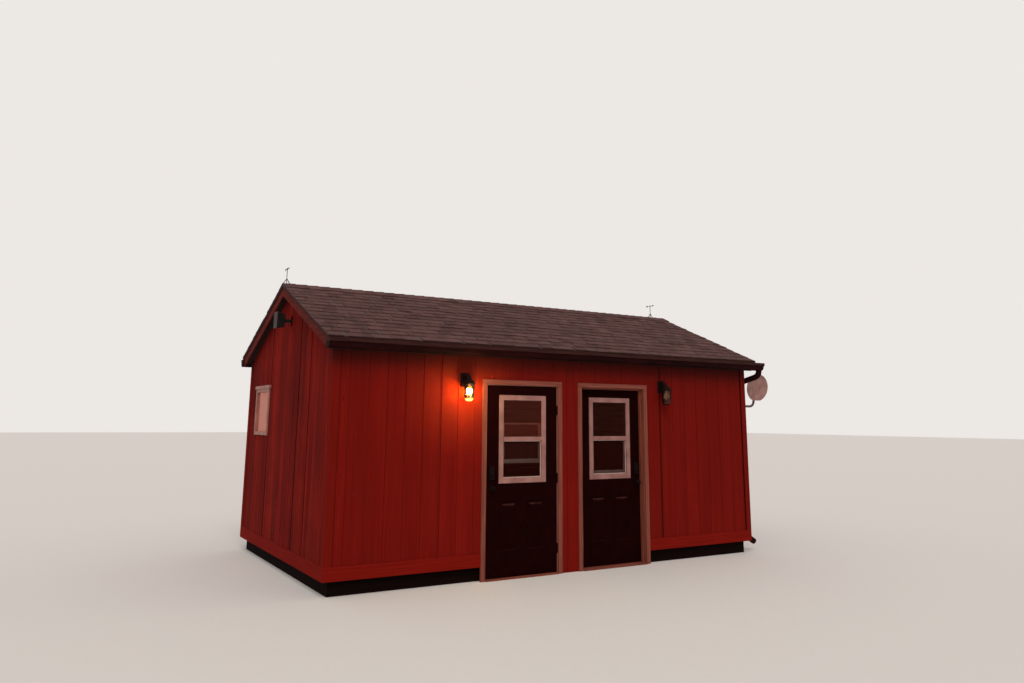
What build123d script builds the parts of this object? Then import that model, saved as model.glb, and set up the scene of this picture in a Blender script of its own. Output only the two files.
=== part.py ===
from build123d import *
import os
from math import atan, cos, radians, sin, tan

os.makedirs("parts", exist_ok=True)

# A small gable-roofed sauna hut. Millimetres, front towards -Y, ground at Z = 0,
# origin at the middle of the footprint.

# Walls: siding face to siding face
wall_length = 5740.0
wall_depth = 3410.0
wall_thick = 115.0

# Base beams and floor
base_height = 150.0
base_setback = 60.0
base_width = 90.0
floor_thick = 15.0

# Roof
header_height = 348.0
roof_rise_per_run = 5.0 / 12.0
shingle_thick = 22.0
rafter_depth = 88.0
gable_overhang = 110.0
shingle_lip = 12.0
eave_overhang = 135.0
ridge_cap_reach = 150.0
ridge_cap_thick = 8.0
rake_thick = 19.0
rake_height = 110.0
fascia_reach = 88.0
fascia_thick = 20.0
fascia_height = 125.0

# Red trim boards
trim_thick = 15.0
corner_board_width = 89.0
bottom_board_height = 135.0

# Gutters and downspouts
gutter_width = 115.0
gutter_height = 98.0
gutter_drop = 22.0
gutter_lip = 14.0
gutter_sheet = 2.0
gutter_left_reach = 115.0
gutter_right_reach = 215.0
spout_radius = 38.0
spout_sheet = 2.0
spout_sides = 16
spout_neck = 70.0
spout_offset_drop = 90.0
spout_bend = 78.0
spout_wall_gap = 4.0
spout_from_corner = 110.0
shoe_height = 190.0
shoe_reach = 130.0
shoe_drop = 75.0
strap_height = 25.0
strap_thick = 2.0
strap_flange = 66.0

# Doorways
left_door_x = -650.0
right_door_x = 628.0
slab_width = 914.0
slab_height = 2032.0
slab_thick = 44.0
door_gap = 5.0
sill_top = 17.0
sill_nose = 35.0
sill_slope = 5.0
jamb_thick = 19.0
stop_thick = 12.0
stop_depth = 35.0
casing_thick = 20.0
casing_side = 54.0
casing_head = 50.0
casing_reveal = 8.0

# Door windows and panels
lite_width = 615.0
lite_height = 956.0
lite_top_rail = 102.0
lite_bar = 57.0
lite_proud = 12.0
lite_sleeve = 28.0
meeting_rail = 44.0
sash_height = 440.0
sash_thick = 16.0
sash_side = 28.0
sash_bottom_bar = 45.0
sash_top_bar = 18.0
left_sash_lift = 155.0
right_sash_lift = 0.0
pane_thick = 4.0
lite_bevel = 4.0
panel_width = 225.0
panel_height = 510.0
panel_spacing = 350.0
panel_bottom = 273.0
panel_slope = 8.0
panel_groove = 18.0
panel_bevel = 30.0
panel_depth = 7.0
panel_raise = 5.0

# Hinges, locks and knobs
hinge_heights = (253.0, 1013.0, 1768.0)
hinge_length = 100.0
barrel_radius = 7.0
pin_radius = 3.0
pin_head = 3.0
pin_clearance = 0.05
knuckle_gap = 0.3
leaf_thick = 2.0
leaf_width = 32.0
barrel_standoff = 1.0
small_sides = 12
knob_height = 928.0
keypad_height = 1088.0
backset = 60.0
keypad_width = 68.0
keypad_tall = 150.0
keypad_thick = 22.0
keypad_edge = 6.0
rose_radius = 33.0
rose_thick = 10.0
knob_radius = 27.0
knob_neck = 12.0
knob_reach = 52.0
knob_clearance = 0.3

# Small window high in the left gable
window_from_back = 715.0
window_below_eave = 669.0
window_width = 640.0
window_height = 575.0
window_bar = 42.0
window_sleeve = 20.0
window_proud = 22.0
window_pane = 6.0
head_trim_reach = 30.0
head_trim_height = 40.0
head_trim_proud = 32.0

# Wall lanterns
left_lantern_gap = 745.0
right_lantern_gap = 764.0
lantern_above_door = 43.0
lantern_plate_width = 110.0
lantern_plate_height = 150.0
lantern_plate_thick = 20.0
lantern_reach = 110.0
lantern_rim_drop = 49.0
lantern_rim_radius = 66.0
lantern_rim_height = 10.0
lantern_cap_height = 50.0
hood_width = 56.0
jar_radius = 54.0
jar_height = 178.0
jar_wall = 4.0
lantern_sides = 24
bulb_sides = 16
bulb_radius = 30.0
bulb_neck = 14.0
bulb_height = 105.0
cage_gap = 2.0
cage_bar = 3.0
cage_bars = 6

# Loudspeaker on the left gable
speaker_y = -120.0
speaker_below_ridge = 452.0
speaker_standoff = 100.0
speaker_depth = 94.0
speaker_width = 140.0
speaker_height = 190.0
speaker_back_width = 100.0
speaker_back_height = 150.0
speaker_edge = 8.0
grille_thick = 6.0
grille_edge = 6.0
speaker_plate_height = 120.0
speaker_plate_width = 60.0
speaker_plate_thick = 6.0
speaker_arm_radius = 20.0
speaker_pad = 60.0

# Dish on the right gable
dish_out = 438.0
dish_from_front = 145.0
dish_below_eave = 278.0
dish_radius = 190.0
dish_cut = 178.0
dish_depth = 34.0
dish_sheet = 3.0
dish_rings = 4
dish_tilt = -10.0
dish_turn = 5.0
dish_boss_radius = 45.0
dish_boss_height = 8.0
mast_radius = 16.0
mast_bend = 80.0
mast_block_width = 60.0
mast_block_depth = 45.0
mast_drop = 256.0
mast_foot_width = 70.0
mast_foot_height = 150.0
mast_foot_thick = 8.0

# Wind vanes on the ridge
left_vane_inset = 45.0
right_vane_inset = 249.0
vane_rod_height = 170.0
vane_rod_radius = 4.0
vane_saddle_length = 90.0
vane_saddle_reach = 45.0
vane_saddle_thick = 3.0
vane_leg_reach = 38.0
vane_leg_height = 65.0
vane_leg_width = 5.0
vane_collar_height = 4.0
vane_sleeve_radius = 7.0
vane_sleeve_height = 18.0
vane_arrow_length = 180.0
vane_arrow_thick = 3.0
vane_arrow_shaft = 5.0
vane_head_height = 26.0
vane_head_length = 34.0
vane_tail_height = 32.0
vane_tail_length = 45.0

# Sizes that follow from the driving ones
half_length = wall_length / 2
half_depth = wall_depth / 2
front_face = -half_depth
gable_face = -half_length
pitch = atan(roof_rise_per_run)
roof_thick = shingle_thick + rafter_depth
slab_half = slab_width / 2
slab_bottom = sill_top + door_gap
slab_top = slab_bottom + slab_height
jamb_inner = slab_half + door_gap
jamb_outer = jamb_inner + jamb_thick
head_under = slab_top + door_gap
head_over = head_under + jamb_thick
casing_inner = jamb_inner + casing_reveal
casing_outer = casing_inner + casing_side
casing_top = head_under + casing_reveal + casing_head
eave_height = head_over + header_height
ridge_height = eave_height + half_depth * roof_rise_per_run + roof_thick / cos(pitch)
roof_half = half_length + gable_overhang
fascia_y = half_depth + fascia_reach
rake_outer = roof_half - shingle_lip
rake_inner = rake_outer - rake_thick
lite_z = slab_top - lite_top_rail - lite_height / 2
pane_width = lite_width - 2 * lite_bar
pane_height = lite_height - 2 * lite_bar
pane_bottom = lite_z - pane_height / 2
pane_top = lite_z + pane_height / 2
window_y = half_depth - window_from_back
window_z = eave_height - window_below_eave


def roof_z(distance, drop):
    """Height of the plane that lies drop below the shingles' top, at a distance from the ridge line."""
    return ridge_height - drop / cos(pitch) - distance * roof_rise_per_run


def keep(piece, name):
    """Labels a finished piece and writes it."""
    piece.part.label = name
    export_step(piece.part, f"parts/{name}.step")


def block(x0, x1, y0, y1, z0, z1, mode=Mode.ADD):
    """A box between two corners."""
    with Locations(((x0 + x1) / 2, (y0 + y1) / 2, (z0 + z1) / 2)):
        Box(x1 - x0, y1 - y0, z1 - z0, mode=mode)


def along_x(points, x0, x1):
    """A closed outline of (y, z) points, carried from x0 to x1."""
    with BuildSketch(Plane.YZ.offset(x0)) as outline:
        with BuildLine():
            Polyline(*points, close=True)
        make_face()
    extrude(outline.sketch, amount=x1 - x0)


def post(middle, radius, length, mode=Mode.ADD):
    """A thin upright bar around its middle, drawn with few sides to keep the mesh light."""
    with BuildSketch(Plane(middle)) as outline:
        RegularPolygon(radius, small_sides)
    extrude(outline.sketch, amount=length / 2, both=True, mode=mode)


def round_bar(plane, radius, length):
    """A round bar that something turns on, from the plane along its normal."""
    with BuildSketch(plane) as outline:
        Circle(radius)
    extrude(outline.sketch, amount=length)


def flat_sided(outlines, mode=Mode.ADD):
    """A solid with flat sides through like outlines, each a list of points."""
    faces = [Face(Wire.make_polygon(outline)) for outline in (outlines[0], outlines[-1])]
    for near, far in zip(outlines, outlines[1:]):
        for corners in zip(near, near[1:] + near[:1], far[1:] + far[:1], far):
            faces.append(Face(Wire.make_polygon(corners)))
    add(Solid(Shell(faces)), mode=mode)


def turned(plane, rings, sides, mode=Mode.ADD):
    """A turned shape with flat sides, through rings of (height along the plane's normal, radius)."""
    turns = [radians(360 * k / sides) for k in range(sides)]
    flat_sided([
        [plane.from_local_coords((radius * cos(a), radius * sin(a), height)) for a in turns]
        for height, radius in rings
    ], mode)


def elbow(before, corner, after, radius, pieces):
    """Points where the short straight pieces of an elbow meet."""
    come = (corner - before).normalized()
    go = (after - corner).normalized()
    turn = radians(come.get_angle(go))
    inward = (go - come * come.dot(go)).normalized()
    centre = corner - come * radius * tan(turn / 2) + inward * radius
    angles = [turn * k / pieces for k in range(pieces + 1)]
    return [centre + (come * sin(a) - inward * cos(a)) * radius for a in angles]


def pipe_route(corners, radius, pieces):
    """A polyline through the corners, with an elbow at each inner one."""
    corners = [Vector(*corner) for corner in corners]
    points = [corners[0]]
    for before, corner, after in zip(corners, corners[1:], corners[2:]):
        points += elbow(before, corner, after, radius, pieces)
    return points + [corners[-1]]


# Base beams, stopped beside the doorways
beam_out = half_depth - base_setback
beam_in = beam_out - base_width
beam_end = half_length - base_setback
left_jamb = left_door_x - jamb_outer
right_jamb = right_door_x + jamb_outer
with BuildPart() as base_long:
    block(-beam_end, left_jamb, -beam_out, -beam_in, 0, base_height)
    block(right_jamb, beam_end, -beam_out, -beam_in, 0, base_height)
    block(-beam_end, beam_end, beam_in, beam_out, 0, base_height)
keep(base_long, "base_long")

with BuildPart() as base_ends:
    for side in (-1, 1):
        outer = side * beam_end
        inner = side * (beam_end - base_width)
        block(min(outer, inner), max(outer, inner), -beam_in, beam_in, 0, base_height)
keep(base_ends, "base_ends")

# Floor between the beams, run out to the sills in both doorways
with BuildPart() as floor:
    inside = beam_end - base_width
    block(-inside, inside, -beam_in, beam_in, 0, floor_thick)
    for x in (left_door_x, right_door_x):
        block(x - jamb_outer, x + jamb_outer, front_face + wall_thick, -beam_in, 0, floor_thick)
keep(floor, "floor")

# Front wall, split beside and over the doorways, and the back wall
front_profile = [
    (front_face, base_height),
    (front_face + wall_thick, base_height),
    (front_face + wall_thick, roof_z(half_depth - wall_thick, roof_thick)),
    (front_face, roof_z(half_depth, roof_thick)),
]
with BuildPart() as front_wall_left:
    along_x(front_profile, -half_length, left_jamb)
keep(front_wall_left, "front_wall_left")

with BuildPart() as front_wall_right:
    along_x(front_profile, right_jamb, half_length)
keep(front_wall_right, "front_wall_right")

with BuildPart() as front_wall_middle:
    block(left_door_x + jamb_outer, right_door_x - jamb_outer, front_face, front_face + wall_thick, 0, head_over)
keep(front_wall_middle, "front_wall_middle")

with BuildPart() as front_wall_header:
    header_profile = [(y, head_over if z == base_height else z) for y, z in front_profile]
    along_x(header_profile, left_jamb, right_jamb)
keep(front_wall_header, "front_wall_header")

with BuildPart() as back_wall:
    along_x([(-y, z) for y, z in front_profile], -half_length, half_length)
keep(back_wall, "back_wall")

# Gable walls between the long walls, up to the roof
gable_half = half_depth - wall_thick
gable_profile = [
    (-gable_half, base_height),
    (gable_half, base_height),
    (gable_half, roof_z(gable_half, roof_thick)),
    (0, roof_z(0, roof_thick)),
    (-gable_half, roof_z(gable_half, roof_thick)),
]
window_hole_width = window_width - 2 * window_sleeve
window_hole_height = window_height - 2 * window_sleeve
with BuildPart() as left_gable_wall:
    along_x(gable_profile, -half_length, -half_length + wall_thick)
    with Locations((-half_length + wall_thick / 2, window_y, window_z)):
        Box(wall_thick, window_hole_width, window_hole_height, mode=Mode.SUBTRACT)
keep(left_gable_wall, "left_gable_wall")

with BuildPart() as right_gable_wall:
    along_x(gable_profile, half_length - wall_thick, half_length)
keep(right_gable_wall, "right_gable_wall")

# Red boards along the bottom, from one doorway round to the other
with BuildPart() as bottom_boards:
    with BuildSketch(Plane.XY.offset(base_height)):
        Rectangle(wall_length + 2 * trim_thick, wall_depth + 2 * trim_thick)
        Rectangle(wall_length, wall_depth, mode=Mode.SUBTRACT)
        door_zone = right_door_x - left_door_x + 2 * casing_outer
        with Locations(((left_door_x + right_door_x) / 2, front_face)):
            Rectangle(door_zone, 4 * trim_thick, mode=Mode.SUBTRACT)
    extrude(amount=bottom_board_height)
keep(bottom_boards, "bottom_boards")

# Red boards at the corners
corner_top = roof_z(half_depth + trim_thick, roof_thick)
with BuildPart() as corner_boards:
    with BuildSketch(Plane.XY.offset(base_height + bottom_board_height)):
        Rectangle(wall_length + 2 * trim_thick, wall_depth + 2 * trim_thick)
        Rectangle(wall_length, wall_depth, mode=Mode.SUBTRACT)
        board = corner_board_width - trim_thick
        Rectangle(wall_length - 2 * board, wall_depth + 4 * trim_thick, mode=Mode.SUBTRACT)
        Rectangle(wall_length + 4 * trim_thick, wall_depth - 2 * board, mode=Mode.SUBTRACT)
    extrude(amount=corner_top - base_height - bottom_board_height)
keep(corner_boards, "corner_boards")

# Roof: rafter slabs, then the shingled deck over them
frame_end = fascia_y - fascia_thick
frame_profile = [
    (0, roof_z(0, shingle_thick)),
    (-frame_end, roof_z(frame_end, shingle_thick)),
    (-frame_end, roof_z(frame_end, roof_thick)),
    (0, roof_z(0, roof_thick)),
]
shingle_edge = half_depth + eave_overhang
shingle_profile = [
    (0, roof_z(0, 0)),
    (-shingle_edge, roof_z(shingle_edge, 0)),
    (-shingle_edge, roof_z(shingle_edge, shingle_thick)),
    (0, roof_z(0, shingle_thick)),
]
with BuildPart() as front_roof_frame:
    along_x(frame_profile, -rake_inner, rake_inner)
keep(front_roof_frame, "front_roof_frame")

with BuildPart() as rear_roof_frame:
    along_x([(-y, z) for y, z in frame_profile], -rake_inner, rake_inner)
keep(rear_roof_frame, "rear_roof_frame")

with BuildPart() as front_shingles:
    along_x(shingle_profile, -roof_half, roof_half)
keep(front_shingles, "front_shingles")

with BuildPart() as rear_shingles:
    along_x([(-y, z) for y, z in shingle_profile], -roof_half, roof_half)
keep(rear_shingles, "rear_shingles")

cap_rise = ridge_cap_thick / cos(pitch)
with BuildPart() as ridge_cap:
    cap_profile = [
        (0, roof_z(0, 0)),
        (-ridge_cap_reach, roof_z(ridge_cap_reach, 0)),
        (-ridge_cap_reach, roof_z(ridge_cap_reach, 0) + cap_rise),
        (0, roof_z(0, 0) + cap_rise),
        (ridge_cap_reach, roof_z(ridge_cap_reach, 0) + cap_rise),
        (ridge_cap_reach, roof_z(ridge_cap_reach, 0)),
    ]
    along_x(cap_profile, -roof_half, roof_half)
keep(ridge_cap, "ridge_cap")

# Rake boards on both gables and fascia boards on both eaves
rake_low = shingle_thick + rake_height
with BuildPart() as rake_boards:
    rake_profile = [
        (0, roof_z(0, shingle_thick)),
        (-fascia_y, roof_z(fascia_y, shingle_thick)),
        (-fascia_y, roof_z(fascia_y, rake_low)),
        (0, roof_z(0, rake_low)),
        (fascia_y, roof_z(fascia_y, rake_low)),
        (fascia_y, roof_z(fascia_y, shingle_thick)),
    ]
    along_x(rake_profile, -rake_outer, -rake_inner)
    along_x(rake_profile, rake_inner, rake_outer)
keep(rake_boards, "rake_boards")

fascia_bottom = roof_z(fascia_y, shingle_thick) - fascia_height
fascia_profile = [
    (-fascia_y, fascia_bottom),
    (-frame_end, fascia_bottom),
    (-frame_end, roof_z(frame_end, shingle_thick)),
    (-fascia_y, roof_z(fascia_y, shingle_thick)),
]
with BuildPart() as fascia_boards:
    along_x(fascia_profile, -rake_inner, rake_inner)
    along_x([(-y, z) for y, z in fascia_profile], -rake_inner, rake_inner)
keep(fascia_boards, "fascia_boards")

# Gutters: a moulded sheet trough with a folded lip and closed ends
gutter_top = roof_z(fascia_y, shingle_thick) - gutter_drop
gutter_bottom = gutter_top - gutter_height
gutter_left = -(half_length + gutter_left_reach)
gutter_right = half_length + gutter_right_reach
gutter_length = gutter_right - gutter_left
spout_x = gutter_right - spout_radius - 12
spout_y = fascia_y + gutter_width / 2 - 8


def gutter(side):
    """The trough of one eave; side is -1 at the front and 1 at the rear."""

    def place(out, up):
        return side * (fascia_y + out * gutter_width), gutter_bottom + up * gutter_height

    with BuildPart() as trough:
        with BuildSketch(Plane.YZ.offset(gutter_left)) as outside:
            with BuildLine():
                Polyline(place(0.60, 0), place(0, 0), place(0, 1), place(1, 1), place(1, 0.66))
                ThreePointArc(place(1, 0.66), place(0.91, 0.60), place(0.84, 0.48))
                ThreePointArc(place(0.84, 0.48), place(0.76, 0.20), place(0.60, 0))
            make_face()
        extrude(amount=gutter_length)
        with BuildSketch(Plane.YZ.offset(gutter_left + gutter_sheet)):
            add(outside.sketch_local)
            offset(amount=-gutter_sheet, kind=Kind.INTERSECTION, mode=Mode.REPLACE)
            mouth = gutter_width - gutter_sheet - gutter_lip
            with Locations((side * (fascia_y + gutter_sheet + mouth / 2 - gutter_sheet / 2), gutter_top)):
                Rectangle(mouth - gutter_sheet, 3 * gutter_sheet)
        extrude(amount=gutter_length - 2 * gutter_sheet, mode=Mode.SUBTRACT)
        with Locations((spout_x, side * spout_y, gutter_bottom)):
            Cylinder(spout_radius - spout_sheet, 4 * gutter_sheet, mode=Mode.SUBTRACT)
    return trough


front_gutter = gutter(-1)
keep(front_gutter, "front_gutter")
rear_gutter = gutter(1)
keep(rear_gutter, "rear_gutter")

# Downspouts: out of the gutter, back to the right gable wall and down to a shoe, held by straps
spout_wall_x = half_length + trim_thick + spout_radius + spout_wall_gap
spout_wall_y = half_depth - spout_from_corner
strap_heights = (shoe_height + 250, gutter_bottom - spout_neck - spout_offset_drop - 250)
with BuildPart() as downspouts:
    for side in (-1, 1):
        neck_z = gutter_bottom - spout_neck
        spout_route = pipe_route([
            (spout_x, side * spout_y, gutter_bottom),
            (spout_x, side * spout_y, neck_z),
            (spout_wall_x, side * spout_wall_y, neck_z - spout_offset_drop),
            (spout_wall_x, side * spout_wall_y, shoe_height),
            (spout_wall_x + shoe_reach, side * spout_wall_y, shoe_height - shoe_drop),
        ], spout_bend, 3)
        with BuildPart(mode=Mode.PRIVATE) as spout:
            for radius, mode in ((spout_radius, Mode.ADD), (spout_radius - spout_sheet, Mode.SUBTRACT)):
                with BuildLine() as route:
                    Polyline(*spout_route)
                with BuildSketch(Plane(spout_route[0], z_dir=(0, 0, -1))) as section:
                    RegularPolygon(radius, spout_sides)
                sweep(section.sketch, path=route.wires()[0], transition=Transition.RIGHT, mode=mode)
        add(spout.part)
        for height in strap_heights:
            with BuildPart(mode=Mode.PRIVATE) as strap:
                with BuildSketch(Plane.XY.offset(height - strap_height / 2)):
                    with Locations((spout_wall_x, side * spout_wall_y)):
                        RegularPolygon(spout_radius + strap_thick, spout_sides)
                    strap_depth = spout_wall_x - half_length
                    with Locations((half_length + strap_depth / 2, side * spout_wall_y)):
                        Rectangle(strap_depth, strap_flange / 2)
                    with Locations((half_length + strap_thick / 2, side * spout_wall_y)):
                        Rectangle(strap_thick, strap_flange)
                    with Locations((spout_wall_x, side * spout_wall_y)):
                        RegularPolygon(spout_radius - spout_sheet / 2, spout_sides, mode=Mode.SUBTRACT)
                extrude(amount=strap_height)
            add(strap.part)
keep(downspouts, "downspouts")


def door_frame(x, name, stop_y):
    """Jambs and head with the stops that the slab closes on, and the flat casing round them."""
    back = front_face + wall_thick
    with BuildPart() as frame:
        for side in (-1, 1):
            jamb = sorted((x + side * jamb_inner, x + side * jamb_outer))
            stop = sorted((x + side * jamb_inner, x + side * (jamb_inner - stop_thick)))
            block(*jamb, front_face, back, 0, head_over)
            block(*stop, stop_y, stop_y + stop_depth, sill_top, head_under)
        block(x - jamb_inner, x + jamb_inner, front_face, back, head_under, head_over)
        block(x - jamb_inner, x + jamb_inner, stop_y, stop_y + stop_depth, head_under - stop_thick, head_under)
    keep(frame, f"{name}_door_frame")
    with BuildPart() as casing:
        with BuildSketch(Plane((0, front_face, 0), x_dir=(1, 0, 0), z_dir=(0, -1, 0))):
            with Locations((x, casing_top / 2)):
                Rectangle(2 * casing_outer, casing_top)
            with Locations((x, (casing_top - casing_head) / 2)):
                Rectangle(2 * casing_inner, casing_top - casing_head, mode=Mode.SUBTRACT)
        extrude(amount=casing_thick)
    keep(casing, f"{name}_door_casing")


# The left door closes outside its stops and opens outwards; the right door is the other way round
left_slab_face = front_face + 1.0
right_slab_face = front_face + wall_thick - 1.0 - slab_thick
door_frame(left_door_x, "left", left_slab_face + slab_thick + door_gap)
door_frame(right_door_x, "right", right_slab_face - door_gap - stop_depth)

sill_profile = [
    (front_face + wall_thick, 0),
    (front_face + wall_thick, sill_top),
    (front_face, sill_top),
    (front_face - sill_nose, sill_top - sill_slope),
    (front_face - sill_nose, 0),
]
with BuildPart() as door_sills:
    for x in (left_door_x, right_door_x):
        along_x(sill_profile, x - jamb_inner, x + jamb_inner)
keep(door_sills, "door_sills")


def hinge_axis(x, face, hinge_side, swing):
    """Where the pins stand: in the gap beside the slab, in front of the face that it swings towards."""
    edge = x + hinge_side * (slab_half + door_gap / 2)
    outside = face if swing < 0 else face + slab_thick
    return edge, outside + swing * (barrel_standoff + barrel_radius)


def ring(x, y, z0, z1, bore):
    """One knuckle of a hinge, bored for the pin or not."""
    middle = (x, y, (z0 + z1) / 2)
    post(middle, barrel_radius, z1 - z0)
    if bore:
        post(middle, (pin_radius + pin_clearance) / cos(radians(180 / small_sides)), z1 - z0 + 1, Mode.SUBTRACT)


knuckle = (hinge_length - 2 * knuckle_gap) / 3


def moving_hinges(x, face, hinge_side, swing, name):
    """The half of each hinge that turns with the slab: a leaf on its edge and two outer knuckles."""
    axis_x, axis_y = hinge_axis(x, face, hinge_side, swing)
    edge = x + hinge_side * slab_half
    with BuildPart() as leaves:
        for height in hinge_heights:
            low = slab_bottom + height - hinge_length / 2
            high = low + hinge_length
            x_pair = sorted((edge, edge + hinge_side * leaf_thick))
            y_pair = sorted((axis_y - swing * barrel_radius, axis_y - swing * (barrel_radius + leaf_width)))
            block(*x_pair, *y_pair, low, high)
            for z0 in (low, high - knuckle):
                arm = sorted((axis_y, axis_y - swing * (barrel_radius + 1)))
                block(*x_pair, *arm, z0, z0 + knuckle)
                ring(axis_x, axis_y, z0, z0 + knuckle, True)
    keep(leaves, f"{name}_door_hinges")


def fixed_hinges(x, face, hinge_side, swing):
    """The half that stays on the jamb: a leaf, the middle knuckle and the pin with its two heads."""
    axis_x, axis_y = hinge_axis(x, face, hinge_side, swing)
    jamb = x + hinge_side * jamb_inner
    for height in hinge_heights:
        low = slab_bottom + height - hinge_length / 2
        high = low + hinge_length
        middle = low + knuckle + knuckle_gap
        x_pair = sorted((jamb, jamb - hinge_side * leaf_thick))
        y_pair = sorted((axis_y - swing * (barrel_radius + 1), axis_y - swing * (barrel_radius + leaf_width)))
        block(*x_pair, *y_pair, low, high)
        arm = sorted((axis_y, axis_y - swing * (barrel_radius + 2)))
        block(*x_pair, *arm, middle, middle + knuckle)
        ring(axis_x, axis_y, middle, middle + knuckle, False)
        round_bar(Plane((axis_x, axis_y, low - knuckle_gap)), pin_radius, hinge_length + 2 * knuckle_gap)
        for z in (low - knuckle_gap - pin_head / 2, high + knuckle_gap + pin_head / 2):
            post((axis_x, axis_y, z), barrel_radius - 1, pin_head)


with BuildPart() as frame_hinges:
    fixed_hinges(left_door_x, left_slab_face, 1, -1)
    fixed_hinges(right_door_x, right_slab_face, -1, 1)
keep(frame_hinges, "frame_hinges")


def upright(face, offset=0.0):
    """A drawing plane on a door's outer face, seen from outside, moved in by offset."""
    return Plane((0, face + offset, 0), x_dir=(1, 0, 0), z_dir=(0, -1, 0))


def panel_outline(x, z, y, inset):
    """A door panel's outline at one depth, inset from its edge."""
    across = panel_width / 2 - inset
    up = panel_height / 2 - inset
    return [(x + a * across, y, z + b * up) for a, b in ((-1, -1), (1, -1), (1, 1), (-1, 1))]


def door(x, face, hinge_side, swing, sash_lift, name):
    """One door: slab, window frame, panes, sliding sash, hinges, lock and knob."""
    back = face + slab_thick
    hole_width = pane_width + 2 * lite_sleeve
    hole_height = pane_height + 2 * lite_sleeve
    with BuildPart() as slab:
        block(x - slab_half, x + slab_half, face, back, slab_bottom, slab_top)
        with Locations((x, face + slab_thick / 2, lite_z)):
            Box(hole_width, slab_thick, hole_height, mode=Mode.SUBTRACT)
        for surface, inward in ((face, 1), (back, -1)):
            for side in (-1, 1):
                panel_x = x + side * panel_spacing / 2
                panel_z = slab_bottom + panel_bottom + panel_height / 2
                deep = surface + inward * panel_depth
                raised = deep - inward * panel_raise
                flat_sided([panel_outline(panel_x, panel_z, surface, 0),
                            panel_outline(panel_x, panel_z, deep, panel_slope)], Mode.SUBTRACT)
                flat_sided([panel_outline(panel_x, panel_z, deep, panel_slope + panel_groove),
                            panel_outline(panel_x, panel_z, raised, panel_slope + panel_groove + panel_bevel)])
    keep(slab, f"{name}_door_slab")

    with BuildPart() as lite:
        with BuildSketch(upright(face)):
            with Locations((x, lite_z)):
                Rectangle(lite_width, lite_height)
                Rectangle(pane_width, pane_height, mode=Mode.SUBTRACT)
        extrude(amount=lite_proud)
        with BuildSketch(upright(face)):
            with Locations((x, lite_z)):
                Rectangle(hole_width, hole_height)
                Rectangle(pane_width, pane_height, mode=Mode.SUBTRACT)
        extrude(amount=-slab_thick)
        with BuildSketch(upright(back)):
            with Locations((x, lite_z)):
                Rectangle(lite_width, lite_height)
                Rectangle(pane_width, pane_height, mode=Mode.SUBTRACT)
        extrude(amount=-lite_proud)
        for outermost in (lite.faces().sort_by(Axis.Y)[0], lite.faces().sort_by(Axis.Y)[-1]):
            chamfer(outermost.edges(), lite_bevel)
        block(x - pane_width / 2, x + pane_width / 2, face - lite_proud + lite_bevel / 2, face + 8,
              lite_z - meeting_rail / 2, lite_z + meeting_rail / 2)
    keep(lite, f"{name}_door_lite")

    sash_low = pane_bottom + sash_lift
    sash_y = face + 20
    glass_low = sash_low + sash_bottom_bar
    glass_high = sash_low + sash_height - sash_top_bar
    with BuildPart() as sash:
        block(x - pane_width / 2, x + pane_width / 2, sash_y, sash_y + sash_thick, sash_low, sash_low + sash_height)
        block(x - pane_width / 2 + sash_side, x + pane_width / 2 - sash_side, sash_y, sash_y + sash_thick,
              glass_low, glass_high, mode=Mode.SUBTRACT)
    keep(sash, f"{name}_door_sash")

    with BuildPart() as glass:
        block(x - pane_width / 2, x + pane_width / 2, face + 8 - pane_thick, face + 8,
              lite_z + meeting_rail / 2, pane_top)
        middle = sash_y + sash_thick / 2
        block(x - pane_width / 2 + sash_side, x + pane_width / 2 - sash_side, middle - pane_thick / 2,
              middle + pane_thick / 2, glass_low, glass_high)
    keep(glass, f"{name}_door_glass")

    moving_hinges(x, face, hinge_side, swing, name)

    lock_x = x - hinge_side * (slab_half - backset)
    keypad_z = slab_bottom + keypad_height
    knob_z = slab_bottom + knob_height
    with BuildPart() as lock:
        block(lock_x - keypad_width / 2, lock_x + keypad_width / 2, face - keypad_thick, face,
              keypad_z - keypad_tall / 2, keypad_z + keypad_tall / 2)
        chamfer(lock.faces().sort_by(Axis.Y)[0].edges(), keypad_edge)
        block(lock_x - keypad_width / 2, lock_x + keypad_width / 2, back, back + rose_thick,
              keypad_z - keypad_width / 2, keypad_z + keypad_width / 2)
        for surface, out in ((face, rose_thick), (back, -rose_thick)):
            with BuildSketch(upright(surface)):
                with Locations((lock_x, knob_z)):
                    RegularPolygon(rose_radius, 2 * small_sides)
            extrude(amount=out)
    keep(lock, f"{name}_door_lock")

    with BuildPart() as knob:
        for outer, way in ((face - rose_thick - knob_clearance, -1), (back + rose_thick + knob_clearance, 1)):
            turned(Plane((lock_x, outer, knob_z), x_dir=(1, 0, 0), z_dir=(0, way, 0)),
                   [(0, knob_neck), (knob_reach * 0.42, knob_neck), (knob_reach * 0.62, knob_radius),
                    (knob_reach * 0.85, knob_radius), (knob_reach, knob_radius * 0.6)], 2 * small_sides)
    keep(knob, f"{name}_door_knob")


door(left_door_x, left_slab_face, 1, -1, left_sash_lift, "left")
door(right_door_x, right_slab_face, -1, 1, right_sash_lift, "right")

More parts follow.
